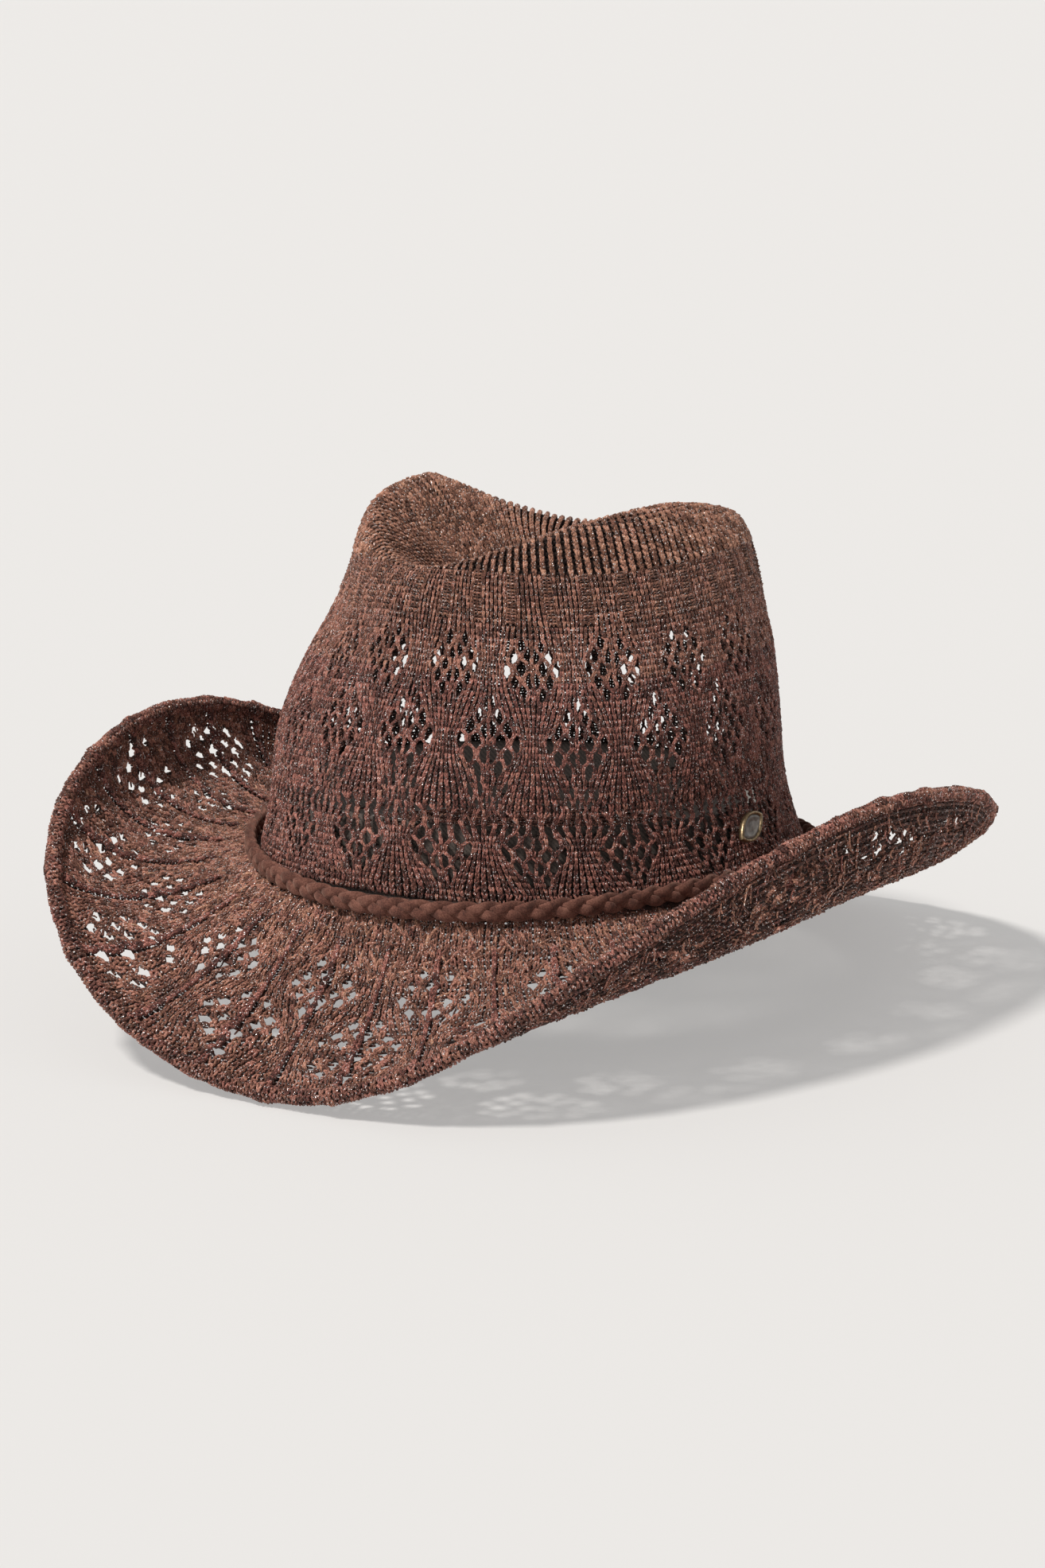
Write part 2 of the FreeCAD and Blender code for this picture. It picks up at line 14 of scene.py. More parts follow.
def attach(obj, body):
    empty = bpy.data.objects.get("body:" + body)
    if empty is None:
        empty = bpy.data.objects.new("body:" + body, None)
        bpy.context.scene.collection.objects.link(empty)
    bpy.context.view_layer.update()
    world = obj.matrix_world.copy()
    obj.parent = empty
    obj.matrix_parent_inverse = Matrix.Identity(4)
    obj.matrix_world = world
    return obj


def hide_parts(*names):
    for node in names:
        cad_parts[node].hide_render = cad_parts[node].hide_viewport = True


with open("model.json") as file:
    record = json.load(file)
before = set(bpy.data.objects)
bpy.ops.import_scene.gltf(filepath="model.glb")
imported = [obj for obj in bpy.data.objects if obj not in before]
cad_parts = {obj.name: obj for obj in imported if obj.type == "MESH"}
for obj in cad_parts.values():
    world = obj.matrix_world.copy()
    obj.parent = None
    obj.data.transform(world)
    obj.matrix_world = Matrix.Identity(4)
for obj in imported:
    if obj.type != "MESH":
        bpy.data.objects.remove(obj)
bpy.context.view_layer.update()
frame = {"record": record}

middle = 1000 * np.array(frame["record"]["mounts"][0]["pos_m"])
rng = np.random.default_rng(11)

# ---------------------------------------------------------------- the hat's surfaces

HEAD_HALF_WIDTH, HEAD_HALF_LENGTH = 86.5, 100.2
HEAD_FRONT_RISE, HEAD_SIDE_RISE = 8.35, 1.5
KNIT_THICKNESS = 2.4
BRIM_CLOTH = 71.0  # from the head line to the middle of the rolled edge
BRIM_STEPS = 71
BINDING_RADIUS = 2.6
RINGS_BETWEEN = 12  # smooth rings worked out from each ring of the list to the next
CROWN_SPLAY = 0.045  # how far the crown's wall bulges at its four corners
REAR_RIGHT_DIP, REAR_LEFT_DIP, RIGHT_CREST_RISE = 22.0, 4.0, 2.2
REAR_LEFT_FULLNESS = 0.10
PINCH_DEPTH, PINCH_BEARING, PINCH_SPREAD, PINCH_HEIGHT, PINCH_REACH = 8.5, 40.0, 26.0, 90.0, 28.0

# Rings of the crown's outer face: half width, front, back, height at the sides, in front, behind.
CROWN_RINGS = [
    (86.0, -99.7, 98.7, 3.1, 8.45, -8.25),
    (79.6, -99.0, 93.6, 22.0, 26.0, 15.0),
    (76.0, -95.5, 89.9, 45.0, 46.0, 38.0),
    (70.0, -89.0, 87.8, 69.0, 66.0, 60.0),
    (62.0, -81.5, 86.0, 91.0, 83.0, 77.0),
    (54.3, -75.5, 83.8, 109.0, 97.0, 91.0),
    (47.0, -67.5, 78.0, 119.0, 105.0, 99.0),
    (38.0, -56.5, 63.0, 114.5, 102.0, 97.0),
    (27.0, -43.0, 48.0, 100.0, 93.0, 90.0),
    (14.0, -24.0, 29.0, 87.0, 85.0, 84.0),
    (1.5, 1.0, 4.0, 82.0, 82.0, 82.0),
]


def unit(vectors):
    """The same directions with a length of one."""
    return vectors / np.maximum(np.linalg.norm(vectors, axis=-1, keepdims=True), 1e-9)


def head_line(t, grow=0.0, lift=0.0):
    """Points of the oval where crown and brim meet."""
    x = (HEAD_HALF_WIDTH + grow) * np.sin(t)
    y = -(HEAD_HALF_LENGTH + grow) * np.cos(t)
    z = HEAD_FRONT_RISE * np.cos(t) - HEAD_SIDE_RISE * np.cos(2 * t) + lift
    return np.stack(np.broadcast_arrays(x, y, z), axis=-1)


def outward(t):
    """The level direction square to the head line."""
    across = [np.sin(t) / HEAD_HALF_WIDTH, -np.cos(t) / HEAD_HALF_LENGTH, 0 * t]
    return unit(np.stack(across, axis=-1))


def crown_sections(steps):
    """The crown's rings with steps smooth in-between rings after each."""
    rings = np.array(CROWN_RINGS)
    padded = np.vstack([rings[:1], rings, rings[-1:]])
    a, b, c, d = (padded[k : k + len(rings) - 1, None, :] for k in range(4))
    s = (np.arange(steps) / steps)[None, :, None]
    between = 0.5 * (
        2 * b + (c - a) * s + (2 * a - 5 * b + 4 * c - d) * s**2 + (3 * b - a - 3 * c + d) * s**3
    )
    return np.vstack([between.reshape(-1, 6), rings[-1:]])


def crown_face(t, sections):
    """The crown's outer face as sections by angles of points."""
    half_width, front, back, side_z, front_z, back_z = (column[:, None] for column in sections.T)
    sine, cosine = np.sin(t)[None], np.cos(t)[None]
    z = side_z + (front_z - side_z) * np.maximum(0, cosine) ** 3
    z = z + (back_z - side_z) * np.maximum(0, -cosine) ** 2
    top = np.clip((z - 70) / 50, 0, 1)
    left, right, rear = np.maximum(0, sine), np.maximum(0, -sine), np.maximum(0, -cosine)
    z = z - REAR_RIGHT_DIP * right * rear * top
    z = z - REAR_LEFT_DIP * left * rear * top
    z = z + RIGHT_CREST_RISE * right**4 * top
    corner = 1 + CROWN_SPLAY * np.clip((z - 30) / 40, 0, 1) * np.sin(2 * t)[None] ** 2
    full = np.clip((z - 75) / 30, 0, 1)
    corner = corner + REAR_LEFT_FULLNESS * left * rear * full
    x = half_width * sine * corner
    y = (front + back) / 2 - (back - front) / 2 * cosine * corner
    bearing = np.abs(np.degrees(t))[None]
    off_bearing, off_height = (bearing - PINCH_BEARING) / PINCH_SPREAD, (z - PINCH_HEIGHT) / PINCH_REACH
    pinch = PINCH_DEPTH * (1 - 0.35 * sine) * np.exp(-(off_bearing**2) - off_height**2)
    shrink = 1 - pinch / (np.hypot(x, y) + 1e-6)
    return np.stack([x * shrink, y * shrink, z], axis=-1)


def brim_face(t, steps):
    """The brim's middle layer from the head line to the rolled edge."""
    left = np.maximum(0, np.sin(t)) ** 2
    root = np.radians(
        -31 - 4.8 * np.cos(t) - 20.8 * np.cos(2 * t) - 12.6 * np.sin(2 * t) - 4.0 * left
        - 12.0 * np.sin(t) ** 2 * np.maximum(0, -np.cos(t))
    )
    rim = np.radians(
        53.1 - 2.4 * np.cos(t) - 59.8 * np.cos(2 * t) + 3.7 * np.sin(2 * t)
        + 5.5 * np.sin(t) - 10.5 * np.cos(3 * t) - 8.2 * np.cos(4 * t) + 8.0 * left
    )
    away, up = outward(t), np.array([0.0, 0.0, 1.0])
    share = (np.arange(steps) + 0.5) / steps
    slope = root[None] + (rim - root)[None] * (share**1.64)[:, None]
    stride = (BRIM_CLOTH + 1.4 * np.cos(t + 0.9)) / steps
    moves = stride[None, :, None] * (np.cos(slope)[..., None] * away[None] + np.sin(slope)[..., None] * up)
    start = head_line(t, grow=-1.7)[None]
    return np.concatenate([start, start + np.cumsum(moves, axis=0)])


class Cloth:
    """A sheet of knit as a grid of points: rows up the cloth, columns round the hat."""

    def __init__(self, points, step=1.0, inside_out=False):
        self.points = points
        self.step = step  # millimetres of cloth between two rows
        self.rows, self.columns = points.shape[:2]
        around = (np.roll(points, -1, axis=1) - np.roll(points, 1, axis=1)) / 2
        up = np.gradient(points, axis=0)
        self.normals = unit(np.cross(up, around) if inside_out else np.cross(around, up))
        self.per_radian = np.linalg.norm(around, axis=-1) * self.columns / (2 * math.pi)
        self.height = (self.rows - 1) * step

    def _mix(self, values, t, s):
        """Values of a grid between its points."""
        column = (t + math.pi) / (2 * math.pi) * self.columns
        row = np.clip(s / self.step, 0, self.rows - 1.001)
        c0, r0 = np.floor(column).astype(int), np.floor(row).astype(int)
        fc, fr = column - c0, row - r0
        if values.ndim == 3:
            fc, fr = fc[..., None], fr[..., None]
        left, right = c0 % self.columns, (c0 + 1) % self.columns
        low = values[r0, left] * (1 - fc) + values[r0, right] * fc
        high = values[r0 + 1, left] * (1 - fc) + values[r0 + 1, right] * fc
        return low * (1 - fr) + high * fr

    def at(self, t, s, depth=0.0):
        """Points at angle t, s millimetres up the cloth and depth out of it, and the way out there."""
        normal = unit(self._mix(self.normals, t, s))
        return self._mix(self.points, t, s) + normal * np.asarray(depth)[..., None], normal

    def stretch(self, t, s):
        """Millimetres of cloth for each radian round the hat."""
        return np.maximum(self._mix(self.per_radian, t, s), 0.5)


COLUMNS = 720
around_hat = -math.pi + 2 * math.pi * np.arange(COLUMNS) / COLUMNS


def even_rows(points, even_below, step):
    """The same sheet with rows a step of cloth apart up to even_below, then shared out so that every
    column ends on the same last row."""
    lengths = np.linalg.norm(np.diff(points, axis=0), axis=-1)
    run = np.concatenate([np.zeros((1, points.shape[1])), np.cumsum(lengths, axis=0)])
    total = run[-1]
    last = int(round(total.mean() / step))
    s = np.arange(last + 1) * step
    result = np.empty((last + 1, points.shape[1], 3))
    for column in range(points.shape[1]):
        scale = (total[column] - even_below) / (s[-1] - even_below)
        along = np.where(s < even_below, s, even_below + (s - even_below) * scale)
        for axis in range(3):
            result[:, column, axis] = np.interp(along, run[:, column], points[:, column, axis])
    return result


def crown_cloth():
    """The middle layer of the crown's wall, the ridge and the crease, from the head line to the top."""
    outer = crown_face(around_hat, crown_sections(RINGS_BETWEEN))
    around = np.roll(outer, -1, axis=1) - np.roll(outer, 1, axis=1)
    normals = unit(np.cross(around, np.gradient(outer, axis=0)))
    return Cloth(even_rows(outer - normals * KNIT_THICKNESS / 2, 100.0, 1.0))


def edge_cloth(radius):
    """The skin of the rolled edge, as cloth that runs from the brim round the wire and back."""
    path = brim_face(around_hat, BRIM_STEPS + 2)[-1]
    ahead = unit(np.roll(path, -1, axis=0) - np.roll(path, 1, axis=0))
    side = unit(np.cross(ahead, np.array([0.0, 0.0, 1.0])))
    top = np.cross(side, ahead)
    rows = 24
    turn = np.linspace(-math.pi, math.pi, rows + 1)[:, None, None]
    ends = np.exp(-((np.sin(REPEATS * (around_hat - PHASE)) / 0.3) ** 2))  # where the columns end
    radius = radius + 0.55 * ends[None, :, None] + 0.12 * np.sin(61 * around_hat)[None, :, None]
    skin = path[None] + radius * (np.cos(turn) * side[None] + np.sin(turn) * top[None])
    return Cloth(skin, step=2 * math.pi * radius.mean() / rows)


# ---------------------------------------------------------------- the lace chart

REPEATS = 18
WALES = 16  # columns of stitches in one repeat
HALF = WALES // 2
ROW = 2.0  # millimetres from one row of stitches to the next
PHASE = math.radians(31.5)  # where the first fan's middle wale stands
REAR_IS_TIGHT = -0.2  # cosine of the angle behind which the row of eyelets is drawn tight


def round_hat(repeats):
    """The angle at which a place counted in repeats stands."""
    t = PHASE + repeats * 2 * math.pi / REPEATS
    return (t + math.pi) % (2 * math.pi) - math.pi


def scatter(a, b):
    """Numbers from 0 to 1 that look random but belong to their place."""
    return np.modf(np.abs(np.sin(a * 12.9898 + b * 78.233) * 43758.5453))[0]


class Chart:
    """How the wales of a lace spread and open. A fan is half a repeat's wales round its middle wale;
    fans stand side by side, with their middles at wales 0 and HALF of each repeat, and take the width
    in turns. A net of holes has its middle wale, the height of its lowest row of holes, the height
    from row to row, half a hole's height, how open the holes are, and how far each row reaches. Every
    other gap of a row is a hole, and the next row has its holes in the gaps between."""

    def __init__(self, spread, nets=(), eyelets=(), uneven=0.8, missing=0.0):
        self.spread_s, self.spread_share = zip(*spread)
        self.nets, self.eyelets = nets, eyelets
        self.uneven, self.missing = uneven, missing

    def across(self, wale, s):
        """Where a wale stands round the hat, in repeats."""
        share = np.interp(s, self.spread_s, self.spread_share)
        repeat = np.floor((wale + HALF / 2) / WALES)
        q = wale - WALES * repeat
        other = share / 2 + (q - HALF / 2) / HALF * (1 - share)
        return repeat + np.where(q < HALF / 2, q / HALF * share, other)

    def opening(self, gap, s):
        """How far the gap between two wales is open, from 0 to 1."""
        result = np.zeros(np.broadcast(gap, s).shape)
        place = gap % (WALES * REPEATS)
        for centre, start, pitch, half_height, size, reach in self.nets:
            k = np.abs((gap - centre + HALF) % WALES - HALF)
            for row, limit in enumerate(reach):
                chance = scatter(place, start + row)
                low = start + row * pitch + 2 * self.uneven * (chance - 0.5)
                off = (s - low) / half_height
                hole = np.clip(1.35 * (1 - off**2), 0, 1) * size * (0.85 + 0.25 * chance)
                there = (k < limit) & ((k + 0.5 + row) % 2 < 0.5) & (chance >= self.missing)
                result = np.maximum(result, np.where(there, hole, 0))
        for start, half_height, size in self.eyelets:
            off = (s - start - self.uneven * (scatter(place, start) - 0.5)) / half_height
            hole = np.clip(1.35 * (1 - off**2), 0, 1) * size
            tight = np.cos(PHASE + gap / WALES * 2 * math.pi / REPEATS) < REAR_IS_TIGHT
            result = np.maximum(result, np.where((gap - 0.5) % 2 < 0.5, hole * np.where(tight, 0.15, 1), 0))
        return np.minimum(result, 1)

    def lean(self, wale, s):
        """How far a wale moves away from the holes beside it, in wales."""
        if not self.nets:
            return 0.0
        low = np.floor(wale)
        moves = [
            0.3 * (self.opening(at - 0.5, s) - self.opening(at + 0.5, s)) for at in (low, low + 1)
        ]
        return moves[0] + (moves[1] - moves[0]) * (wale - low)


CROWN_CHART = Chart(
    spread=[(0, 0.6), (4, 0.68), (12, 0.45), (19, 0.27), (25.6, 0.5), (30, 0.32), (36, 0.42), (45, 0.68),
            (52, 0.73), (60, 0.55), (67, 0.36), (77, 0.28), (84, 0.38), (94, 0.5)],
    nets=[
        (HALF, 8.5, 4.0, 2.4, 1.0, (1.6, 3.6, 3.6, 2.6)),
        (0, 28.4, 3.6, 2.2, 0.9, (1.6, 3.6, 4.6)),
        (0, 42.5, 4.2, 2.9, 1.0, (1.6, 2.6, 3.6, 3.6, 2.6, 1.6)),
        (HALF, 66.5, 3.9, 2.2, 0.9, (1.6, 2.6, 3.6, 2.6, 1.6)),
    ],
    eyelets=[(25.6, 3.8, 1.0)],
)
BRIM_CHART = Chart(
    spread=[(0, 0.5), (15, 0.5), (25, 0.34), (36, 0.40), (46, 0.68), (57, 0.70), (65, 0.5), (71, 0.5)],
    nets=[
        (HALF, 23.5, 4.0, 1.5, 0.9, (1.6, 2.6, 3.6, 3.6, 2.6)),
        (0, 41.5, 4.0, 1.5, 0.9, (1.6, 2.6, 3.6, 3.6, 3.6, 2.6)),
    ],
    uneven=1.2,
    missing=0.16,
)
PLAIN_CHART = Chart(spread=[(0, 0.5), (1, 0.5)])

# ---------------------------------------------------------------- yarn


class Yarn:
    """Short lengths of yarn collected into one mesh, each a tapered tube through a few points."""

    def __init__(self):
        self.parts = []

    def add(self, points, normals, radii, tone, tan, cell, sides=5):
        """Tubes through points (tubes by stations), with the cloth's way out at each. tone makes a tube
        paler; the loops behind the stitches get tone below zero, which paints shade on them. tan turns it
        from maroon to tan, and cell is where its colours go on the baked map."""
        count, stations = points.shape[:2]
        along = unit(np.gradient(points, axis=1))
        side = unit(np.cross(along, normals))
        top = np.cross(side, along)
        turn = 2 * math.pi * np.arange(sides) / sides
        ring = np.cos(turn)[:, None] * side[:, :, None, :] + np.sin(turn)[:, None] * top[:, :, None, :]
        vertices = points[:, :, None, :] + radii[:, :, None, None] * ring
        index = np.arange(count * stations * sides).reshape(count, stations, sides)
        here, ahead = index[:, :-1], index[:, 1:]
        quads = np.stack(
            [here, np.roll(here, -1, axis=2), np.roll(ahead, -1, axis=2), ahead], axis=-1
        ).reshape(-1, 4)
        length = np.concatenate(
            [np.zeros((count, 1)), np.cumsum(np.linalg.norm(np.diff(points, axis=1), axis=-1), axis=1)],
            axis=1,
        )
        start = rng.uniform(0, 400, count)[:, None]
        ply = turn[None, None] + 1.1 * length[:, :, None] + start[:, :, None]
        run = np.broadcast_to((length + start)[:, :, None], ply.shape)
        strand = np.stack([run, np.cos(ply), np.sin(ply)], axis=-1)
        share = length / length[:, -1:]
        u = cell[0][:, None, None] + cell[2] * (0.15 + 0.7 * np.abs((turn / math.pi + 1) % 2 - 1))
        v = cell[1][:, None, None] + cell[3] * share[:, :, None] + 0 * turn
        place = np.stack(np.broadcast_arrays(u, v), axis=-1)
        flat = [np.broadcast_to(a[:, None, None], ply.shape).ravel() for a in (tone, tan)]
        self.parts.append((vertices.reshape(-1, 3), quads, strand.reshape(-1, 3), flat[0], flat[1],
                           place.reshape(-1, 2)))

    def make(self, name, material):
        """One mesh object of all the yarn."""
        shift = np.cumsum([0] + [len(part[0]) for part in self.parts])
        quads = np.vstack([part[1] + start for part, start in zip(self.parts, shift)])
        vertices, strand, tone, tan, place = (
            np.concatenate([part[k] for part in self.parts]) for k in (0, 2, 3, 4, 5)
        )
        mesh = mesh_of(name, vertices, quads, material)
        for title, kind, key, values in (
            ("strand", "FLOAT_VECTOR", "vector", strand),
            ("tone", "FLOAT", "value", tone),
            ("tan", "FLOAT", "value", tan),
        ):
            layer = mesh.attributes.new(title, kind, "POINT")
            layer.data.foreach_set(key, values.astype(np.float32).ravel())
        layer = mesh.uv_layers.new(name=BAKE_MAP)
        layer.data.foreach_set("uv", place[quads.ravel()].astype(np.float32).ravel())
        return add_object(name, mesh)


BAKE_MAP = "OFBake"  # the name of the layer that holds a ready colour layout for baking


def mesh_of(name, vertices, faces, material):
    """A mesh from points in millimetres round the head line's middle and faces of equal size."""
    faces = np.asarray(faces)
    mesh = bpy.data.meshes.new(name)
    mesh.vertices.add(len(vertices))
    mesh.vertices.foreach_set("co", (0.001 * (vertices + middle)).astype(np.float32).ravel())
    mesh.loops.add(faces.size)
    mesh.loops.foreach_set("vertex_index", faces.astype(np.int32).ravel())
    mesh.polygons.add(len(faces))
    mesh.polygons.foreach_set("loop_start", np.arange(0, faces.size, faces.shape[1], dtype=np.int32))
    mesh.polygons.foreach_set("use_smooth", np.full(len(faces), True))
    mesh.update(calc_edges=True)
    mesh.materials.append(material)
    return mesh


def grid_quads(index):
    """Faces between the rows of a grid of points whose columns close on themselves."""
    ahead = np.roll(index, -1, axis=1)
    return np.stack([index[:-1], ahead[:-1], ahead[1:], index[1:]], axis=-1).reshape(-1, 4)


def add_object(name, mesh):
    """An object of the hat's one rigid body."""
    thing = bpy.data.objects.new(name, mesh)
    bpy.context.scene.collection.objects.link(thing)
    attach(thing, "root")
    return thing


# Stations of one leg of a knit stitch: rows up, share of the wale's half width, depth in millimetres.
LEG = [(-0.20, 0.30, -0.55), (0.25, 0.45, 0.30), (0.80, 0.95, 0.42), (1.25, 0.85, -0.50)]
# Stations of the loop that joins two wales behind: share of the way across, rows up, depth.
SINKER = [(-0.35, 0.25, -0.25), (-0.15, -0.10, -0.62), (0.15, -0.10, -0.62), (0.35, 0.25, -0.25)]
# Stations of the yarn that crosses behind a wale.
BACK = [(-0.60, 0.55, -0.85), (-0.20, 0.45, -1.05), (0.20, 0.45, -1.05), (0.60, 0.55, -0.85)]
# Stations of a purl bump, which lies across the wale in front.
BUMP = [(-0.60, 0.20, -0.20), (-0.28, 0.62, 0.62), (0.28, 0.62, 0.62), (0.60, 0.20, -0.20)]
LEG_SHARES = np.array([0.72, 1.0, 1.0, 0.72])


class Knitter:
    """Works the stitches of one cloth."""

    def __init__(self, cloth, chart, wales, rib=0.0, squeeze=1.0):
        self.cloth, self.chart, self.rib = cloth, chart, rib
        self.squeeze = squeeze  # how much of its width a wale fills
        self.wales = wales  # stitches in one repeat
        self.yarn = Yarn()
        self.wander = rng.normal(0, 1, (3, 4)), rng.uniform(0, 7, (3, 4))

    def drift(self, t, s):
        """Slow unevenness of the hand of the knit, in millimetres sideways."""
        size, phase = self.wander
        total = 0
        for k in range(4):
            total = total + size[0, k] * np.sin((5 + 4 * k) * t + phase[0, k]) * np.sin(
                s / (9 + 3 * k) + phase[1, k]
            )
        return 0.22 * total

    def place(self, wale, s, offset, depth):
        """Points offset millimetres to the left of a wale's middle, and the way out."""
        wale = wale + self.chart.lean(wale, s)
        t = round_hat(self.chart.across(wale * WALES / self.wales, s))
        t = t + (offset + self.drift(t, s)) / self.cloth.stretch(t, s)
        return self.cloth.at(t, s, depth)

    def half_width(self, wale, s, side):
        """Half a wale's width in millimetres and how open the gap beside it is."""
        ratio = WALES / self.wales
        here = self.chart.across(wale * ratio, s)
        edge = self.chart.across((wale + 0.5 * side) * ratio, s)
        width = np.abs(edge - here) * 2 * math.pi / REPEATS * self.cloth.stretch(round_hat(here), s)
        return width, self.chart.opening((wale + 0.5 * side) * ratio, s)

    def cell(self, wale, s, part, parts):
        """Where a stitch's colours go on the baked map."""
        whole = self.wales * REPEATS
        wide, high = 1 / (whole * parts), ROW / (self.cloth.height + 3 * ROW)
        return ((wale % whole) * parts + part) * wide, s / ROW * high, wide, 0.9 * high

    def knit(self, wale, s, thick=1.0, tan=0.0, lift=0.0, row=ROW):
        """V stitches at wales and heights: two legs, each narrower where a hole opens beside it."""
        count = len(wale)
        tan = np.broadcast_to(tan, (count,)) + rng.normal(0, 0.08, count)
        tone = rng.uniform(0, 1, count)
        slub = rng.uniform(0.86, 1.16, count)
        wobble = rng.normal(0, 0.09, (count, len(LEG), 2))
        for part, side in enumerate((-1, 1)):
            points, normals, radii = [], [], []
            for k, (rise, share, depth) in enumerate(LEG):
                height = s + rise * row
                half, gap = self.half_width(wale, height, side)
                radius = np.clip(0.37 + 0.22 * (half - 1.0), 0.26, 0.60) * (1 - 0.18 * gap) * thick
                radius = radius * slub
                reach = (half * self.squeeze - radius * 0.95) * (1 - gap) + 0.24 * gap
                offset = side * share * np.maximum(reach, 0.12) + wobble[:, k, 0]
                deep = depth + lift - self.rib * share**2 + wobble[:, k, 1]
                point, normal = self.place(wale, height, offset, deep)
                points.append(point)
                normals.append(normal)
                radii.append(radius * LEG_SHARES[k])
            self.yarn.add(
                np.stack(points, axis=1), np.stack(normals, axis=1), np.stack(radii, axis=1),
                tone, tan, self.cell(wale, s, part, 3),
            )

    def join(self, wale, s, stations=SINKER, radius=0.36, tan=0.0, dark=1.0, row=ROW, within=0.5):
        """Loops from each wale to the next, or purl bumps across a wale when within is 0. dark lowers the
        loops' tone, which paints shade onto the yarn lying behind the stitches.
        """
        half, gap = self.half_width(wale, s, 1)
        if not within:
            gap = np.maximum(gap, self.half_width(wale, s, -1)[1])
        keep = gap < 0.3
        wale, s, half = wale[keep], s[keep], half[keep]
        count = len(wale)
        tan = np.broadcast_to(tan, (count,)) + rng.normal(0, 0.1, count)
        wobble = rng.normal(0, 0.10, (count, len(stations), 2))
        places = []
        for k, (share, rise, depth) in enumerate(stations):
            offset = 2 * half * share + wobble[:, k, 0]
            places.append(self.place(wale + within, s + rise * row, offset, depth + wobble[:, k, 1]))
        radii = np.clip(radius + 0.15 * (half - 1.2), 0.25, 0.6)[:, None]
        # Tone lowered by dark: painted shade on the loops behind the stitches.
        self.lay(places, radii, rng.uniform(0, 0.8, count) - dark, tan, wale, s)

    def tangle(self, count, low, high, depths, tan=0.3, radius=0.42, spread=0.5):
        """Loose strands that lie across the stitches at odd angles, clear of the holes."""
        wale = rng.uniform(0, self.wales * REPEATS, count)
        s = rng.uniform(low, high, count)
        gap = self.chart.opening(np.round(wale - 0.5) + 0.5, s)
        wale, s = wale[gap < 0.2], s[gap < 0.2]
        count = len(wale)
        lean, reach = rng.normal(0, spread, count), rng.uniform(1.5, 2.8, count)
        depth = rng.uniform(*depths, count)
        places = []
        for share, dip in ((-1, -0.45), (-0.35, 0.1), (0.35, 0.1), (1, -0.45)):
            offset = share * reach * np.sin(lean)
            places.append(self.place(wale, s + share * reach * np.cos(lean), offset, depth + dip))
        radii = radius * rng.uniform(0.8, 1.2, (count, 1))
        self.lay(places, radii, rng.uniform(0, 1, count), rng.normal(tan, 0.15, count), wale, s)

    def lay(self, places, radii, tone, tan, wale, s):
        """Thin strands through the places of their four stations."""
        points, normals = (np.stack(values, axis=1) for values in zip(*places))
        cell = self.cell(wale, s, 2, 3)
        self.yarn.add(points, normals, radii * LEG_SHARES[None], tone, tan, cell, sides=4)


def every(wales, rows):
    """All pairs of wale and row."""
    pairs = np.array(np.meshgrid(wales, rows, indexing="ij"), dtype=float)
    return pairs[0].ravel(), pairs[1].ravel()


def foot_cord(knitter):
    """The thick row where the crown turns into the brim, as short overlapping lengths."""
    whole = WALES * REPEATS
    wale = np.arange(whole)
    turn = (wale[:, None] + np.array([-0.2, 0.2, 0.8, 1.2])[None]) * 2 * math.pi / whole
    turn = (PHASE + turn + math.pi) % (2 * math.pi) - math.pi
    for grow, drop in ((-0.5, 0.0), (0.7, -0.7), (1.6, -1.8)):
        points = head_line(turn, grow=grow) + np.array([0.0, 0.0, drop])
        radii = 1.1 * rng.uniform(0.9, 1.1, (whole, 1)) * LEG_SHARES[None]
        knitter.yarn.add(
            points, outward(turn), radii, rng.uniform(-0.8, 0, whole), rng.normal(0, 0.1, whole),
            knitter.cell(wale, np.zeros(whole), 2, 3), sides=5,
        )


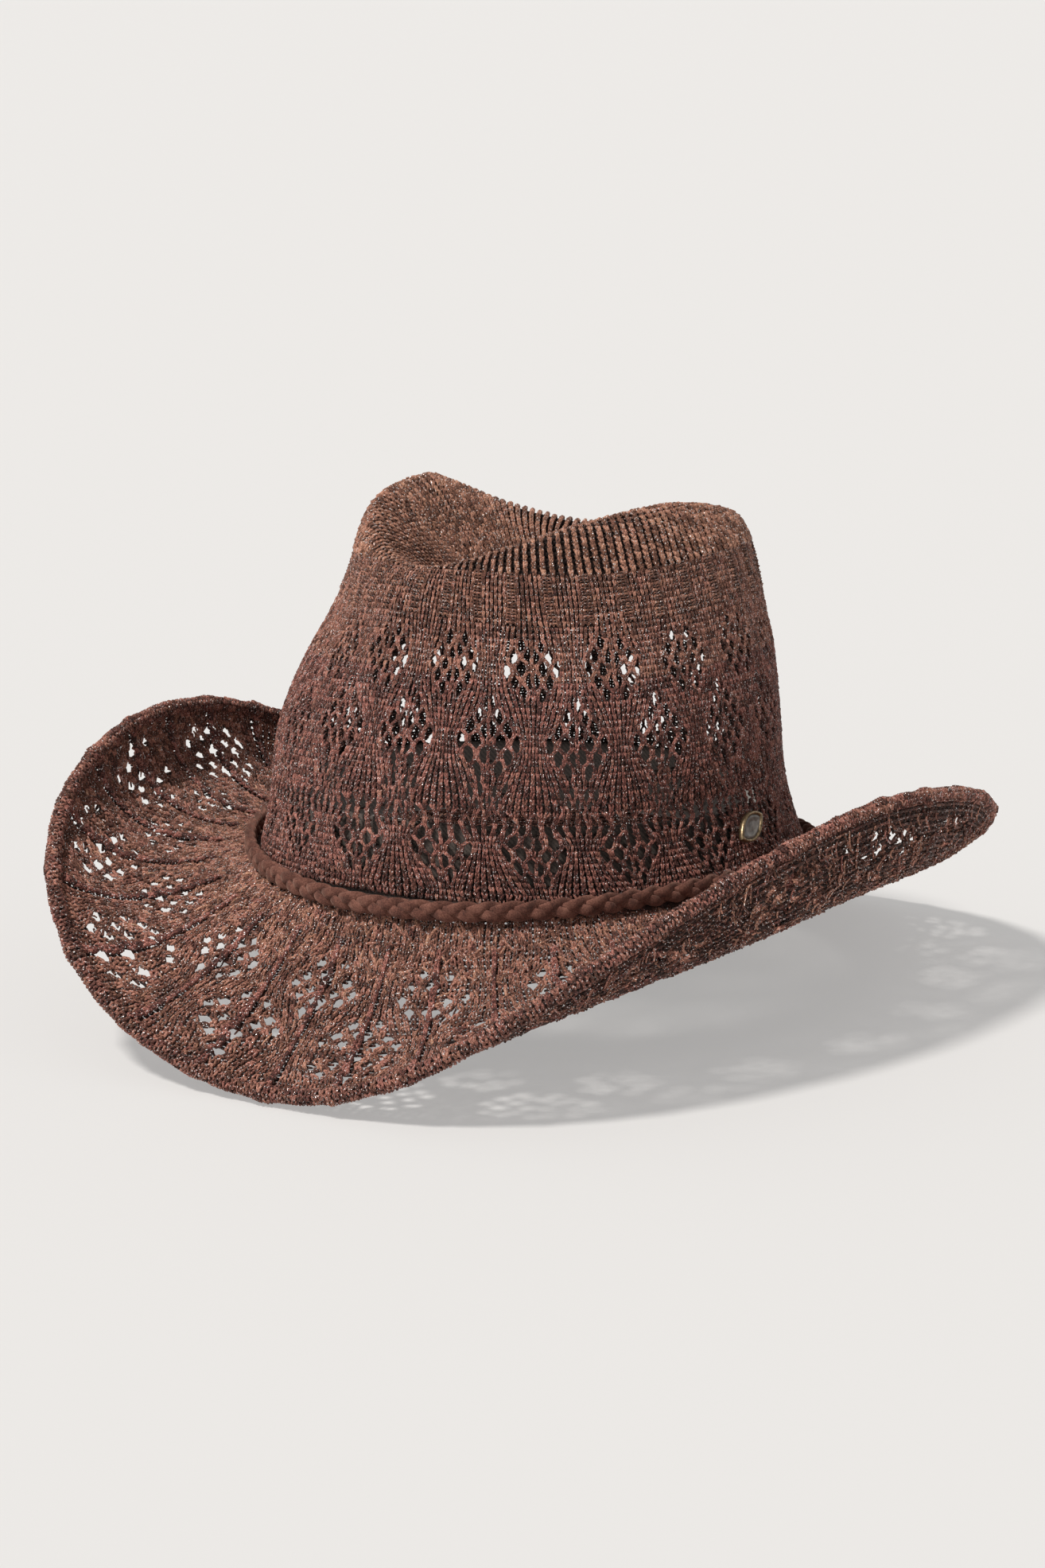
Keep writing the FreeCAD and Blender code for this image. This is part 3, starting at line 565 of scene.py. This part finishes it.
def crown_knit(material):
    """The crown: lace up the wall, a band of purl patches, ribs over the ridge and into the crease."""
    cloth = crown_cloth()
    knitter = Knitter(cloth, CROWN_CHART, WALES, rib=0.25, squeeze=0.86)
    dark_top, lace_top, solid_top = 70.0, 88.0, 104.0
    narrowest_rib = 1.45
    whole = np.arange(WALES * REPEATS)
    wale, s = every(whole, np.arange(0, lace_top, ROW))
    foot_cord(knitter)
    # Below dark_top the lace is knit darker and above it paler, up to the palest ribs on top: partly the
    # yarn's own colour, partly painted light falling on the upper crown.
    lower_wall = s < dark_top
    knitter.knit(wale[lower_wall], s[lower_wall], thick=1.04, tan=-0.10)
    knitter.knit(wale[~lower_wall], s[~lower_wall], thick=1.04, tan=0.10)
    # dark paints shade on the sinker loops and on the yarn behind the wales, so the gaps between stitches
    # look dark.
    knitter.join(wale, s, radius=0.42, dark=1.8)
    knitter.join(wale, s, stations=BACK, radius=0.45, dark=2.6, within=0.0)
    wale, s = every(whole, np.arange(lace_top, solid_top, ROW))
    patch = (wale % HALF > HALF / 2 - 1.0) & (wale % HALF < HALF / 2 + 1.5)
    knitter.knit(wale[~patch], s[~patch], tan=0.15)
    knitter.join(wale, s, radius=0.5, dark=1.8)
    knitter.join(wale, s, stations=BACK, radius=0.5, dark=2.6, within=0.0)
    knitter.join(wale[patch], s[patch], stations=BUMP, radius=0.5, tan=0.25, dark=0.0, within=0.0)
    knitter.join(wale[patch], s[patch] + ROW / 2, stations=BUMP, radius=0.4, tan=0.2, dark=0.2, within=0.0)
    pieces = [knitter.yarn]
    row = solid_top
    wales = WALES // 2
    while row < cloth.height - 1.5:
        around = cloth.per_radian[int(row)].mean() * 2 * math.pi
        while wales > 1 and around / (wales * REPEATS) < narrowest_rib:
            wales //= 2
        ribs = Knitter(cloth, PLAIN_CHART, wales, rib=0.5, squeeze=0.66)
        ribs.wander = knitter.wander
        wale, s = every(np.arange(wales * REPEATS), [row])
        # The ribs' pale tan is partly the yarn's own colour, partly painted light on the top of the crown.
        ribs.knit(wale, s, thick=1.15, tan=0.35, lift=0.35)
        # The yarn behind the ribs is darkened as painted shade.
        ribs.join(wale, s, stations=BACK, radius=0.6, dark=2.2, within=0.0)
        ribs.join(wale, s, stations=BACK, radius=0.6, dark=2.2, within=0.5)
        pieces.append(ribs.yarn)
        row += ROW
    yarn = Yarn()
    yarn.parts = [part for piece in pieces for part in piece.parts]
    knit = yarn.make("crown_lace", material)
    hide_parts("crown_knit")
    return knit


def brim_knit(material):
    """The brim: a plain zone by the crown, then lace nets between dark raised columns, with loose
    strands lying over all of it and under it."""
    cloth = Cloth(brim_face(around_hat, BRIM_STEPS), inside_out=True)
    knitter = Knitter(cloth, BRIM_CHART, WALES, rib=0.2, squeeze=0.88)
    hem = 68
    wale, s = every(np.arange(WALES * REPEATS), np.arange(-1.0, hem, ROW))
    column = (wale % HALF == 0) & (s > 14)
    knitter.knit(wale[~column], s[~column], thick=1.02, tan=0.12)
    knitter.knit(wale[column], s[column], thick=1.3, tan=-0.25, lift=1.0)
    # dark paints a little shade on the loops behind the brim's stitches.
    knitter.join(wale, s, radius=0.45, dark=1.0)
    knitter.join(wale, s, stations=BACK, radius=0.46, dark=0.3, within=0.0)
    knitter.tangle(3000, 1, 26, (0.0, 0.6), tan=0.25, radius=0.48, spread=0.65)
    knitter.tangle(1300, 20, hem, (-0.2, 0.5), tan=0.35, radius=0.44, spread=0.7)
    knitter.tangle(3200, 1, hem, (-1.45, -1.1), tan=0.1, radius=0.42, spread=0.5)
    knit = knitter.yarn.make("brim_lace", material)
    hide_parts("brim_knit")
    return knit


def edge_knit(material):
    """The knitted casing of the rolled edge, with a plain lining that hides the wire."""
    wales, rows_round = 20, 7
    cloth = edge_cloth(BINDING_RADIUS - 0.75)
    knitter = Knitter(cloth, PLAIN_CHART, wales)
    row = cloth.height / rows_round
    wale, s = every(np.arange(wales * REPEATS), np.arange(rows_round) * row)
    knitter.knit(wale, s, thick=1.1, row=row)
    knitter.join(wale, s, radius=0.5, row=row)
    lining = edge_cloth(BINDING_RADIUS - 1.2).points[::4, ::2]
    rows, columns = lining.shape[:2]
    quads = grid_quads(np.arange(rows * columns).reshape(rows, columns))
    count = rows * columns
    strand = np.stack([np.arange(count) * 0.7, np.zeros(count), np.ones(count)], axis=-1)
    grey = np.zeros(count)
    knitter.yarn.parts.append((lining.reshape(-1, 3), quads, strand, grey, grey, np.zeros((count, 2))))
    knit = knitter.yarn.make("edge_casing", material)
    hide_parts("edge_binding")
    return knit


# ---------------------------------------------------------------- band, sweatband and small pieces


def grid_piece(name, points, material, node, loop=False):
    """A piece whose skin is a grid of points: rows, which close on themselves only with loop, by
    columns, which always do. It takes the place of a CAD node."""
    rows, columns = points.shape[:2]
    index = np.arange(rows * columns).reshape(rows, columns)
    if loop:
        index = np.vstack([index, index[:1]])
    piece = add_object(name, mesh_of(name, points.reshape(-1, 3), grid_quads(index), material))
    if node:
        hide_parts(node)
    return piece


def threads(name, points, way_out, radii, wide, thread, node):
    """Separate short threads in one piece. wide is the width of each one's place on the baked map."""
    count = len(points)
    zero = np.zeros(count)
    stitches = Yarn()
    cell = (np.arange(count) / count, zero, wide, 0.9)
    stitches.add(points, way_out, radii, zero, zero, cell, sides=8)
    piece = stitches.make(name, thread)
    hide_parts(node)


def note(piece, values):
    """Keeps where each point lies in the cloth, in millimetres, for the material."""
    layer = piece.data.attributes.new("weave", "FLOAT_VECTOR", "POINT")
    layer.data.foreach_set("vector", values.astype(np.float32).ravel())


def bar(path, way_out, half_out, half_up, around=16, taper=2):
    """The skin of a bar of oval section along a path, drawn to a point over its end stations."""
    along = unit(np.gradient(path, axis=0))
    up = unit(np.cross(way_out, along))
    out = np.cross(along, up)
    turn = 2 * math.pi * np.arange(around) / around
    reach = np.ones(len(path))
    reach[:taper] = np.linspace(0.01, 0.9, taper)
    reach[-taper:] = np.linspace(0.9, 0.01, taper)
    ring = half_out * np.cos(turn)[None, :, None] * out[:, None]
    ring = ring + half_up * np.sin(turn)[None, :, None] * up[:, None]
    return path[:, None] + reach[:, None, None] * ring


def band_line(t, out=0.0, up=0.0):
    """The braided band's middle line. In front it has slipped down the brim's steep root."""
    slip = np.maximum(0, np.cos(t - BAND_DIP_STATION)) ** 2
    middle_line = head_line(t, lift=BAND_LIFT - BAND_DIP * slip + up)
    return middle_line + outward(t) * (BAND_OFFSET + BAND_DIP_SWELL * slip + out)[..., None]


BAND_LIFT, BAND_OFFSET = 4.6, 1.1
BAND_DIP, BAND_DIP_SWELL, BAND_DIP_STATION = 5.5, 2.9, math.radians(15.6)
TACKS = 6
BRAID_TURNS, BRAID_RISE, BRAID_WEAVE = 27, 1.6, 1.14
STRAND_HALF_THICKNESS, STRAND_HALF_WIDTH = 0.82, 1.7


def braid(material, thread):
    """Three flat suede strands plaited round the hat, the wrap over their ends, and the tacks."""
    t = np.linspace(-math.pi + 0.007, math.pi - 0.007, BRAID_TURNS * 30)
    for strand, letter in enumerate("abc"):
        phase = BRAID_TURNS * t + strand * 2 * math.pi / 3
        path = band_line(t, BRAID_WEAVE * np.sin(2 * phase), BRAID_RISE * np.sin(phase))
        skin = bar(path, outward(t), STRAND_HALF_THICKNESS, STRAND_HALF_WIDTH)
        grid_piece(f"suede_strand_{letter}", skin, material, f"strand_{letter}")
    half_wrap = 7.0
    reach = half_wrap / HEAD_HALF_LENGTH
    t = np.linspace(math.pi - reach, math.pi + reach, 30)
    skin = bar(band_line(t), outward(t), 3.1, 4.4, around=32, taper=3)
    grid_piece("suede_wrap", skin, material, "band_wrap")
    t = math.pi / TACKS + np.arange(TACKS) * 2 * math.pi / TACKS
    lifts = np.linspace(-2.2, 2.2, 5)
    points = np.stack([band_line(t, -2.35 + 0 * t, lift) for lift in lifts], axis=1)
    way_out = np.repeat(outward(t)[:, None], len(lifts), axis=1)
    radii = np.full((TACKS, len(lifts)), 0.25)
    threads("thread_tacks", points, way_out, radii, 0.15, thread, "band_tacks")


TILT = -math.atan2(HEAD_FRONT_RISE, HEAD_HALF_LENGTH)
SWEATBAND_HEIGHT, SWEATBAND_WALL, SWEATBAND_FOOT = 24.5, 1.4, -1.5
FOOT_STITCHES = 48


def sweatband_face(t, share, inset):
    """Points of the sweatband: share of the way up it, inset from its outer face."""
    t, share, inset = np.broadcast_arrays(t, share, inset)
    ripple = 0.35 * share * np.sin(7 * t + 1) * np.sin(4 * t)
    x = (82.6 - 6.6 * share - inset - ripple) * np.sin(t)
    y = -(96.2 - 3.4 * share - inset - ripple) * np.cos(t) - 3.4 * share
    z = SWEATBAND_FOOT + SWEATBAND_HEIGHT * share
    return np.stack(
        [x, y * math.cos(TILT) - z * math.sin(TILT), y * math.sin(TILT) + z * math.cos(TILT)], axis=-1
    )


def sweatband(cloth, thread):
    """The woven sweatband, one strip joined at the back, with the running stitch along its foot."""
    up, wall = np.linspace(0, 1, 13), SWEATBAND_WALL
    share = np.concatenate([up, [1.012], up[::-1], [-0.012]])
    inset = np.concatenate([0 * up, [wall / 2], 0 * up + wall, [wall / 2]])
    t = around_hat[::2]
    points = sweatband_face(t[None], share[:, None], inset[:, None])
    piece = grid_piece("sweat_strip", points, cloth, "sweatband", loop=True)
    where = np.stack(np.broadcast_arrays(90 * np.abs(t)[None], SWEATBAND_HEIGHT * share[:, None], 0.0), -1)
    note(piece, where)
    start = 2 * math.pi * np.arange(FOOT_STITCHES) / FOOT_STITCHES
    spots = start[:, None] + 0.065 * np.linspace(0, 1, 5)[None]
    dip = np.array([0.35, 0, -0.05, 0, 0.35])[None]
    points = sweatband_face(spots, 0.12, wall + 0.3 - dip)
    radii = np.broadcast_to([[0.15, 0.28, 0.3, 0.28, 0.15]], (FOOT_STITCHES, 5))
    threads("foot_stitches", points, -outward(spots), radii, 1 / 60, thread, "sweatband_stitches")


def folded_cloth(name, station, width, line, thickness, material, node):
    """A strip of cloth lying on the sweatband's inner face. line is its path seen from the end: how far
    up the sweatband and how far in from its outer face, in millimetres."""
    rise, inset = np.array(line).T
    steps = np.gradient(np.stack([rise, inset], axis=-1), axis=0)
    steps = steps / np.linalg.norm(steps, axis=-1, keepdims=True)
    half = thickness / 2
    profile = np.concatenate([
        np.stack([rise - half * steps[:, 1], inset + half * steps[:, 0]], axis=-1),
        np.stack([rise + half * steps[:, 1], inset - half * steps[:, 0]], axis=-1)[::-1],
    ])
    across = np.concatenate([[-0.5], np.linspace(-0.5, 0.5, 25), [0.5]])
    centre = profile.mean(axis=0)
    points = []
    for k, share in enumerate(across):
        shrink = 0.02 if k in (0, len(across) - 1) else 1.0
        rise, inset = (centre + (profile - centre) * shrink).T
        t = station + share * width / 88.0
        points.append(sweatband_face(t, (rise - SWEATBAND_FOOT) / SWEATBAND_HEIGHT, inset))
    piece = grid_piece(name, np.stack(points), material, node)
    where = np.stack(np.broadcast_arrays((across * width)[:, None], profile[None, :, 0], 0.0), axis=-1)
    note(piece, where)
    return piece


def label_and_tab(satin, cloth):
    """The blank folded size label and the tab over the sweatband's join."""
    inner = SWEATBAND_WALL + 0.45
    tab = [(rise, inner + 0.35) for rise in np.linspace(4.2, 21.2, 12)]
    folded_cloth("sweat_tab", math.pi, 12.0, tab, 0.6, cloth, "sweatband_tab")
    back, front, foot = inner + 0.8, inner + 1.7, 6.9
    middle_inset, bend = (back + front) / 2, 0.45
    fold = [(foot - bend * math.sin(a), middle_inset - bend * math.cos(a)) for a in (0.5, 1.2, 1.9, 2.6)]
    line = [(rise, back) for rise in np.linspace(20.6, foot, 8)] + fold
    line += [(rise, front + 0.02 * (rise - foot) ** 1.5) for rise in np.linspace(foot, 19.6, 8)]
    label = folded_cloth(
        "blank_label", math.radians(150), 24.0, line, 0.4, satin, "size_label"
    )


BADGE_STATION, BADGE_TILT = math.radians(93.0), math.radians(20.0)
BADGE_LENGTH, BADGE_WIDTH = 16.0, 8.6


def badge_place(points):
    """Points from the badge's own frame, with its face towards Z, onto the crown, 9 to 11 rings up."""
    sections = crown_sections(RINGS_BETWEEN)[9:12]
    t = BADGE_STATION + np.array([-0.03, 0.0, 0.03])
    spots = crown_face(t, sections)
    along = unit(spots[1, 2] - spots[1, 0])
    up = unit(spots[2, 1] - spots[0, 1])
    facing = unit(np.cross(along, up))
    up = np.cross(facing, along)
    turned = along * math.cos(BADGE_TILT) + up * math.sin(BADGE_TILT)
    return spots[1, 1] + points @ np.stack([turned, np.cross(facing, turned), facing])


def almond(margin, height, scale=1.0, around=72):
    """A pointed oval between two arcs, margin inside the badge's outline."""
    length, width = BADGE_LENGTH - 3 * margin, BADGE_WIDTH - 2 * margin
    radius = (length**2 + width**2) / (4 * width)
    turn = 2 * math.pi * np.arange(around) / around
    x = length / 2 * np.cos(turn)
    y = np.sign(np.sin(turn)) * (np.sqrt(radius**2 - x**2) - (radius - width / 2))
    return np.stack([x * scale, y * scale, 0 * x + height], axis=-1)


def badge(brass, enamel, plate):
    """The almond badge: a rimmed metal dish, a blank enamel face, and the clip plate behind."""
    rim = [(1.2, 0.4, 0.02), (0.1, 0.4, 1), (0, 0.6, 1), (0, 1.6, 1), (0.18, 2.0, 1), (0.45, 2.12, 1),
           (0.78, 2.0, 1), (1.0, 1.7, 1), (1.04, 1.25, 1), (1.2, 1.2, 0.02)]
    skin = np.stack([almond(*line) for line in rim])
    grid_piece("badge_rim", badge_place(skin), brass, "badge_frame")
    face = [(1.06, 1.3, 1), (1.1, 1.62, 1), (1.3, 1.72, 1), (1.3, 1.78, 0.75), (1.3, 1.62, 0.7),
            (1.3, 1.7, 0.4), (1.3, 1.72, 0.02)]
    skin = np.stack([almond(*line) for line in face])
    grid_piece("badge_enamel", badge_place(skin), enamel, "badge_face")
    for side in (-1, 1):
        path = np.array([(4, 0, 0.9), (4, 0, -2), (4, 0, -5.6),
                         (3.7, 0, -6.0), (2.4, 0, -6.1), (1.8, 0, -6.1)])
        skin = bar(path * (side, 1, 1), np.tile([side * 1.0, 0, 0.01], (6, 1)), 0.28, 0.6, taper=1)
        grid_piece(f"badge_prong_{side + 1}", badge_place(skin), brass, None)
    turn = 2 * math.pi * np.arange(48) / 48
    disc = [(0.05, -5.72), (4.7, -5.72), (5.0, -5.6), (5.0, -5.45), (4.7, -5.36), (0.05, -5.36)]
    skin = np.stack([np.stack([r * np.cos(turn), r * np.sin(turn), 0 * turn + z], -1) for r, z in disc])
    grid_piece("badge_clip", badge_place(skin), plate, "badge_backplate")


WIRE_RADIUS, SLEEVE_RADIUS = 0.6, 1.0


def brim_wire(steel, sleeve):
    """The shaping wire inside the rolled edge and the crimped sleeve that joins its ends."""
    path = np.roll(brim_face(around_hat, BRIM_STEPS)[-1], -COLUMNS // 2, axis=0)
    t = np.linspace(0.005, 2 * math.pi - 0.005, COLUMNS)
    skin = bar(path, outward(t), WIRE_RADIUS, WIRE_RADIUS)
    grid_piece("shaping_wire", skin, steel, "brim_wire")
    t = math.pi + np.linspace(-8, 8, 20) / 150
    path = brim_face(t, BRIM_STEPS)[-1]
    crimped = 1.1 - 0.18 * np.exp(-((np.linspace(-8, 8, 20) / 1.5) ** 2))
    skin = bar(path, outward(t), SLEEVE_RADIUS, SLEEVE_RADIUS)
    skin = path[:, None] + (skin - path[:, None]) * crimped[:, None, None]
    grid_piece("crimp_sleeve", skin, sleeve, "wire_sleeve")


# ---------------------------------------------------------------- materials


def new_material(name):
    """A material with its node tree, its shader and a helper that adds a node."""
    material = bpy.data.materials.new(name)
    material.use_nodes = True
    tree = material.node_tree
    shader = tree.nodes["Principled BSDF"]

    def node(kind, **settings):
        made = tree.nodes.new(kind)
        for key, value in settings.items():
            if key in made.inputs:
                if hasattr(value, "node"):
                    tree.links.new(value, made.inputs[key])
                else:
                    made.inputs[key].default_value = value
            else:
                setattr(made, key, value)
        return made

    def link(source, target):
        tree.links.new(source, target)

    return material, shader, node, link


def relief(shader, node, link, height, strength, distance):
    """Gives a shader the fine relief of a height field."""
    bump = node("ShaderNodeBump", Strength=strength, Distance=distance)
    link(height, bump.inputs["Height"])
    link(bump.outputs[0], shader.inputs["Normal"])


def ramp(node, factor, stops):
    """A colour ramp over a factor, with stops of place and colour."""
    made = node("ShaderNodeValToRGB", Fac=factor)
    elements = made.color_ramp.elements
    while len(elements) < len(stops):
        elements.new(0.5)
    for element, (place, colour) in zip(elements, stops):
        element.position = place
        element.color = (*colour, 1)
    return made.outputs["Color"]


def mix(node, factor, a, b):
    """Colour a turning into colour b with the factor."""
    made = node("ShaderNodeMix", data_type="RGBA")
    for socket, value in zip((made.inputs[0], made.inputs[6], made.inputs[7]), (factor, a, b)):
        if hasattr(value, "node"):
            made.id_data.links.new(value, socket)
        elif isinstance(value, tuple):
            socket.default_value = (*value, 1)
        else:
            socket.default_value = value
    return made.outputs[2]


def arithmetic(node, operation, a, b, clamp=False):
    """A sum on two numbers or sockets."""
    made = node("ShaderNodeMath", operation=operation, use_clamp=clamp)
    for socket, value in zip(made.inputs, (a, b)):
        if hasattr(value, "node"):
            made.id_data.links.new(value, socket)
        else:
            socket.default_value = value
    return made.outputs[0]


def yarn_material():
    """Marled yarn: maroon brown and tan plies, a fine metallic thread whose specks carry painted glints,
    and a soft nap.
    """
    material, shader, node, link = new_material("marled_yarn")
    strand = node("ShaderNodeAttribute", attribute_name="strand").outputs["Vector"]
    tone = node("ShaderNodeAttribute", attribute_name="tone").outputs["Fac"]
    tan = node("ShaderNodeAttribute", attribute_name="tan").outputs["Fac"]
    streaks = node("ShaderNodeVectorMath", operation="MULTIPLY")
    link(strand, streaks.inputs[0])
    streaks.inputs[1].default_value = (0.75, 1.1, 1.1)
    plies = node("ShaderNodeTexNoise", Vector=streaks.outputs[0], Scale=1.9, Detail=3.0).outputs["Fac"]
    # Tone shifts the yarn's colour; tone below zero on the loops behind the stitches darkens them as
    # painted shade.
    value = arithmetic(node, "ADD", plies, arithmetic(node, "MULTIPLY", tone, 0.20))
    brown = ramp(node, value, [
        (0.42, (0.009, 0.002, 0.001)),
        (0.54, (0.055, 0.012, 0.008)),
        (0.64, (0.150, 0.042, 0.031)),
        (0.76, (0.500, 0.205, 0.160)),
    ])
    light = ramp(node, value, [
        (0.40, (0.050, 0.016, 0.007)),
        (0.56, (0.240, 0.098, 0.052)),
        (0.74, (0.720, 0.410, 0.260)),
    ])
    colour = mix(node, arithmetic(node, "ADD", tan, 0.12, clamp=True), brown, light)
    cells = node("ShaderNodeVectorMath", operation="MULTIPLY")
    link(strand, cells.inputs[0])
    cells.inputs[1].default_value = (1.2, 0.9, 0.9)
    specks = node("ShaderNodeTexVoronoi", Vector=cells.outputs[0], Scale=1.9)
    picked = node("ShaderNodeSeparateColor", Color=specks.outputs["Color"]).outputs[0]
    near = arithmetic(node, "LESS_THAN", specks.outputs["Distance"], 0.42)
    glitter_and_painted_glint = arithmetic(node, "MULTIPLY", arithmetic(node, "GREATER_THAN", picked, 0.86), near)
    glitter_and_painted_glint = arithmetic(node, "MULTIPLY", glitter_and_painted_glint, arithmetic(node, "GREATER_THAN", tone, -0.3))
    # The metallic thread's specks are near white in colour as well as shiny, so they hold painted glints
    # besides their real shine.
    link(mix(node, glitter_and_painted_glint, colour, (0.96, 0.93, 0.92)), shader.inputs["Base Color"])
    link(arithmetic(node, "MULTIPLY", glitter_and_painted_glint, 0.4), shader.inputs["Metallic"])
    rough = node("ShaderNodeMapRange")
    link(glitter_and_painted_glint, rough.inputs["Value"])
    rough.inputs["To Min"].default_value = 0.85
    rough.inputs["To Max"].default_value = 0.22
    link(rough.outputs[0], shader.inputs["Roughness"])
    fibres = node("ShaderNodeTexNoise", Vector=streaks.outputs[0], Scale=7.0, Detail=2.0)
    relief(shader, node, link, fibres.outputs["Fac"], 0.5, 0.0003)
    shader.inputs["Sheen Weight"].default_value = 0.10
    shader.inputs["Sheen Roughness"].default_value = 0.5
    shader.inputs["Sheen Tint"].default_value = (0.9, 0.65, 0.55, 1)
    return material


def plain_material(name, colour, roughness, metallic=0.0, grain=400.0, contrast=0.25):
    """A solid finish with fine mottling in colour, roughness and relief."""
    material, shader, node, link = new_material(name)
    where = node("ShaderNodeTexCoord").outputs["Object"]
    mottle = node("ShaderNodeTexNoise", Vector=where, Scale=grain, Detail=4.0).outputs["Fac"]
    dark = tuple(c * (1 - contrast) for c in colour)
    bright = tuple(min(1, c * (1 + contrast)) for c in colour)
    link(ramp(node, mottle, [(0.3, dark), (0.7, bright)]), shader.inputs["Base Color"])
    relief(shader, node, link, mottle, 0.3, 0.0002)
    shader.inputs["Roughness"].default_value = roughness
    shader.inputs["Metallic"].default_value = metallic
    return material


def woven_material(name, dark, bright, pitch, roughness=0.75):
    """A fine twill whose diagonal ribs are pitch millimetres apart."""
    material, shader, node, link = new_material(name)
    weave = node("ShaderNodeAttribute", attribute_name="weave").outputs["Vector"]
    ribs = node(
        "ShaderNodeTexWave", Vector=weave, Scale=0.314 / pitch, Distortion=1.5, bands_direction="DIAGONAL"
    )
    ribs.inputs["Detail Scale"].default_value = 3.0
    specks = node("ShaderNodeTexNoise", Vector=weave, Scale=2.5, Detail=3.0).outputs["Fac"]
    value = arithmetic(node, "ADD", arithmetic(node, "MULTIPLY", ribs.outputs["Fac"], 0.45), specks)
    link(ramp(node, value, [(0.35, dark), (0.95, bright)]), shader.inputs["Base Color"])
    relief(shader, node, link, value, 0.6, 0.0002)
    shader.inputs["Roughness"].default_value = roughness
    shader.inputs["Sheen Weight"].default_value = 0.2
    return material


def suede_material():
    """Soft brushed suede: patches of nap lying different ways, worn paler along the strand."""
    material, shader, node, link = new_material("faux_suede")
    where = node("ShaderNodeTexCoord").outputs["Object"]
    patches = node("ShaderNodeTexNoise", Vector=where, Scale=260.0, Detail=3.0).outputs["Fac"]
    fluff = node("ShaderNodeTexNoise", Vector=where, Scale=2600.0, Detail=4.0).outputs["Fac"]
    patches = arithmetic(node, "MULTIPLY", patches, 0.5)
    value = arithmetic(node, "ADD", patches, arithmetic(node, "MULTIPLY", fluff, 0.5))
    link(ramp(node, value, [
        (0.36, (0.045, 0.014, 0.009)),
        (0.50, (0.125, 0.045, 0.030)),
        (0.64, (0.230, 0.100, 0.070)),
    ]), shader.inputs["Base Color"])
    relief(shader, node, link, fluff, 0.7, 0.0003)
    shader.inputs["Roughness"].default_value = 0.95
    shader.inputs["Sheen Weight"].default_value = 0.35
    shader.inputs["Sheen Roughness"].default_value = 0.4
    shader.inputs["Sheen Tint"].default_value = (0.85, 0.55, 0.42, 1)
    return material


# ---------------------------------------------------------------- scene


def studio():
    """A pale floor that glows a little to keep its shadows soft, a pale surround, and one key light
    from high in front."""
    bpy.ops.mesh.primitive_plane_add(size=40)
    floor = bpy.context.object
    floor.name = "floor"
    material, shader, node, link = new_material("pale_floor")
    shader.inputs["Base Color"].default_value = (0.40, 0.395, 0.39, 1)
    shader.inputs["Roughness"].default_value = 0.9
    shader.inputs["Emission Color"].default_value = (1.0, 0.985, 0.97, 1)
    shader.inputs["Emission Strength"].default_value = 0.35
    floor.data.materials.append(material)
    world = bpy.data.worlds.new("studio")
    bpy.context.scene.world = world
    world.use_nodes = True
    tree = world.node_tree
    background = tree.nodes["Background"]
    where = tree.nodes.new("ShaderNodeTexCoord")
    split = tree.nodes.new("ShaderNodeSeparateXYZ")
    sky = tree.nodes.new("ShaderNodeValToRGB")
    tree.links.new(where.outputs["Generated"], split.inputs[0])
    tree.links.new(split.outputs["Z"], sky.inputs["Fac"])
    tree.links.new(sky.outputs["Color"], background.inputs["Color"])
    for element, (place, grey) in zip(sky.color_ramp.elements, ((0.10, 0.72), (0.80, 0.24))):
        element.position = place
        element.color = (grey, grey * 0.995, grey * 0.985, 1)
    key = bpy.data.lights.new("key", "SUN")
    key.energy = 3.1
    key.angle = math.radians(9)
    key.color = (1.0, 0.97, 0.93)
    lamp = bpy.data.objects.new("key", key)
    bpy.context.scene.collection.objects.link(lamp)
    lamp.rotation_euler = Vector((-0.185, -0.684, 1.15)).to_track_quat("Z", "Y").to_euler()
    bpy.context.scene.view_settings.view_transform = "Standard"


def camera():
    """The view of the hat from its front left, a little above."""
    azimuth, elevation, roll = math.radians(35.48), math.radians(14.45), math.radians(-0.27)
    distance, lens = 1.3, 90.5
    right = Vector((math.cos(azimuth), math.sin(azimuth), 0))
    back = Vector((
        math.sin(azimuth) * math.cos(elevation),
        -math.cos(azimuth) * math.cos(elevation),
        math.sin(elevation),
    ))
    up = back.cross(right)
    centre = Vector(0.001 * middle)
    aim = centre - right * 0.0046 + up * 0.0215
    eye = centre + back * distance
    data = bpy.data.cameras.new("view")
    data.lens = lens
    data.clip_end = 100
    thing = bpy.data.objects.new("view", data)
    bpy.context.scene.collection.objects.link(thing)
    turn = (eye - aim).to_track_quat("Z", "Y").to_matrix().to_4x4()
    thing.matrix_world = Matrix.Translation(eye) @ turn @ Matrix.Rotation(roll, 4, "Z")
    bpy.context.scene.camera = thing


yarn = yarn_material()
crown_knit(yarn)
brim_knit(yarn)
edge_knit(yarn)
thread = plain_material("sewing_thread", (0.10, 0.055, 0.04), 0.8, grain=2500.0)
steel = plain_material("drawn_steel", (0.50, 0.50, 0.51), 0.35, metallic=1.0)
sleeve_metal = plain_material("dull_aluminium", (0.62, 0.62, 0.63), 0.45, metallic=1.0)
brass = plain_material("aged_brass", (0.30, 0.22, 0.13), 0.38, metallic=1.0, grain=900.0, contrast=0.6)
enamel = plain_material("grey_enamel", (0.20, 0.18, 0.16), 0.3, grain=700.0, contrast=0.45)
# The sweat cloth is coloured as dark as the sweatband looks in the shade inside the crown: painted shade.
sweat_cloth = woven_material("sweat_cloth", (0.035, 0.026, 0.022), (0.10, 0.075, 0.062), 0.9)
satin = woven_material("label_satin", (0.52, 0.49, 0.44), (0.80, 0.77, 0.71), 0.5, roughness=0.5)
braid(suede_material(), thread)
sweatband(sweat_cloth, thread)
label_and_tab(satin, sweat_cloth)
badge(brass, enamel, sleeve_metal)
brim_wire(steel, sleeve_metal)

studio()
camera()
bpy.context.view_layer.update()
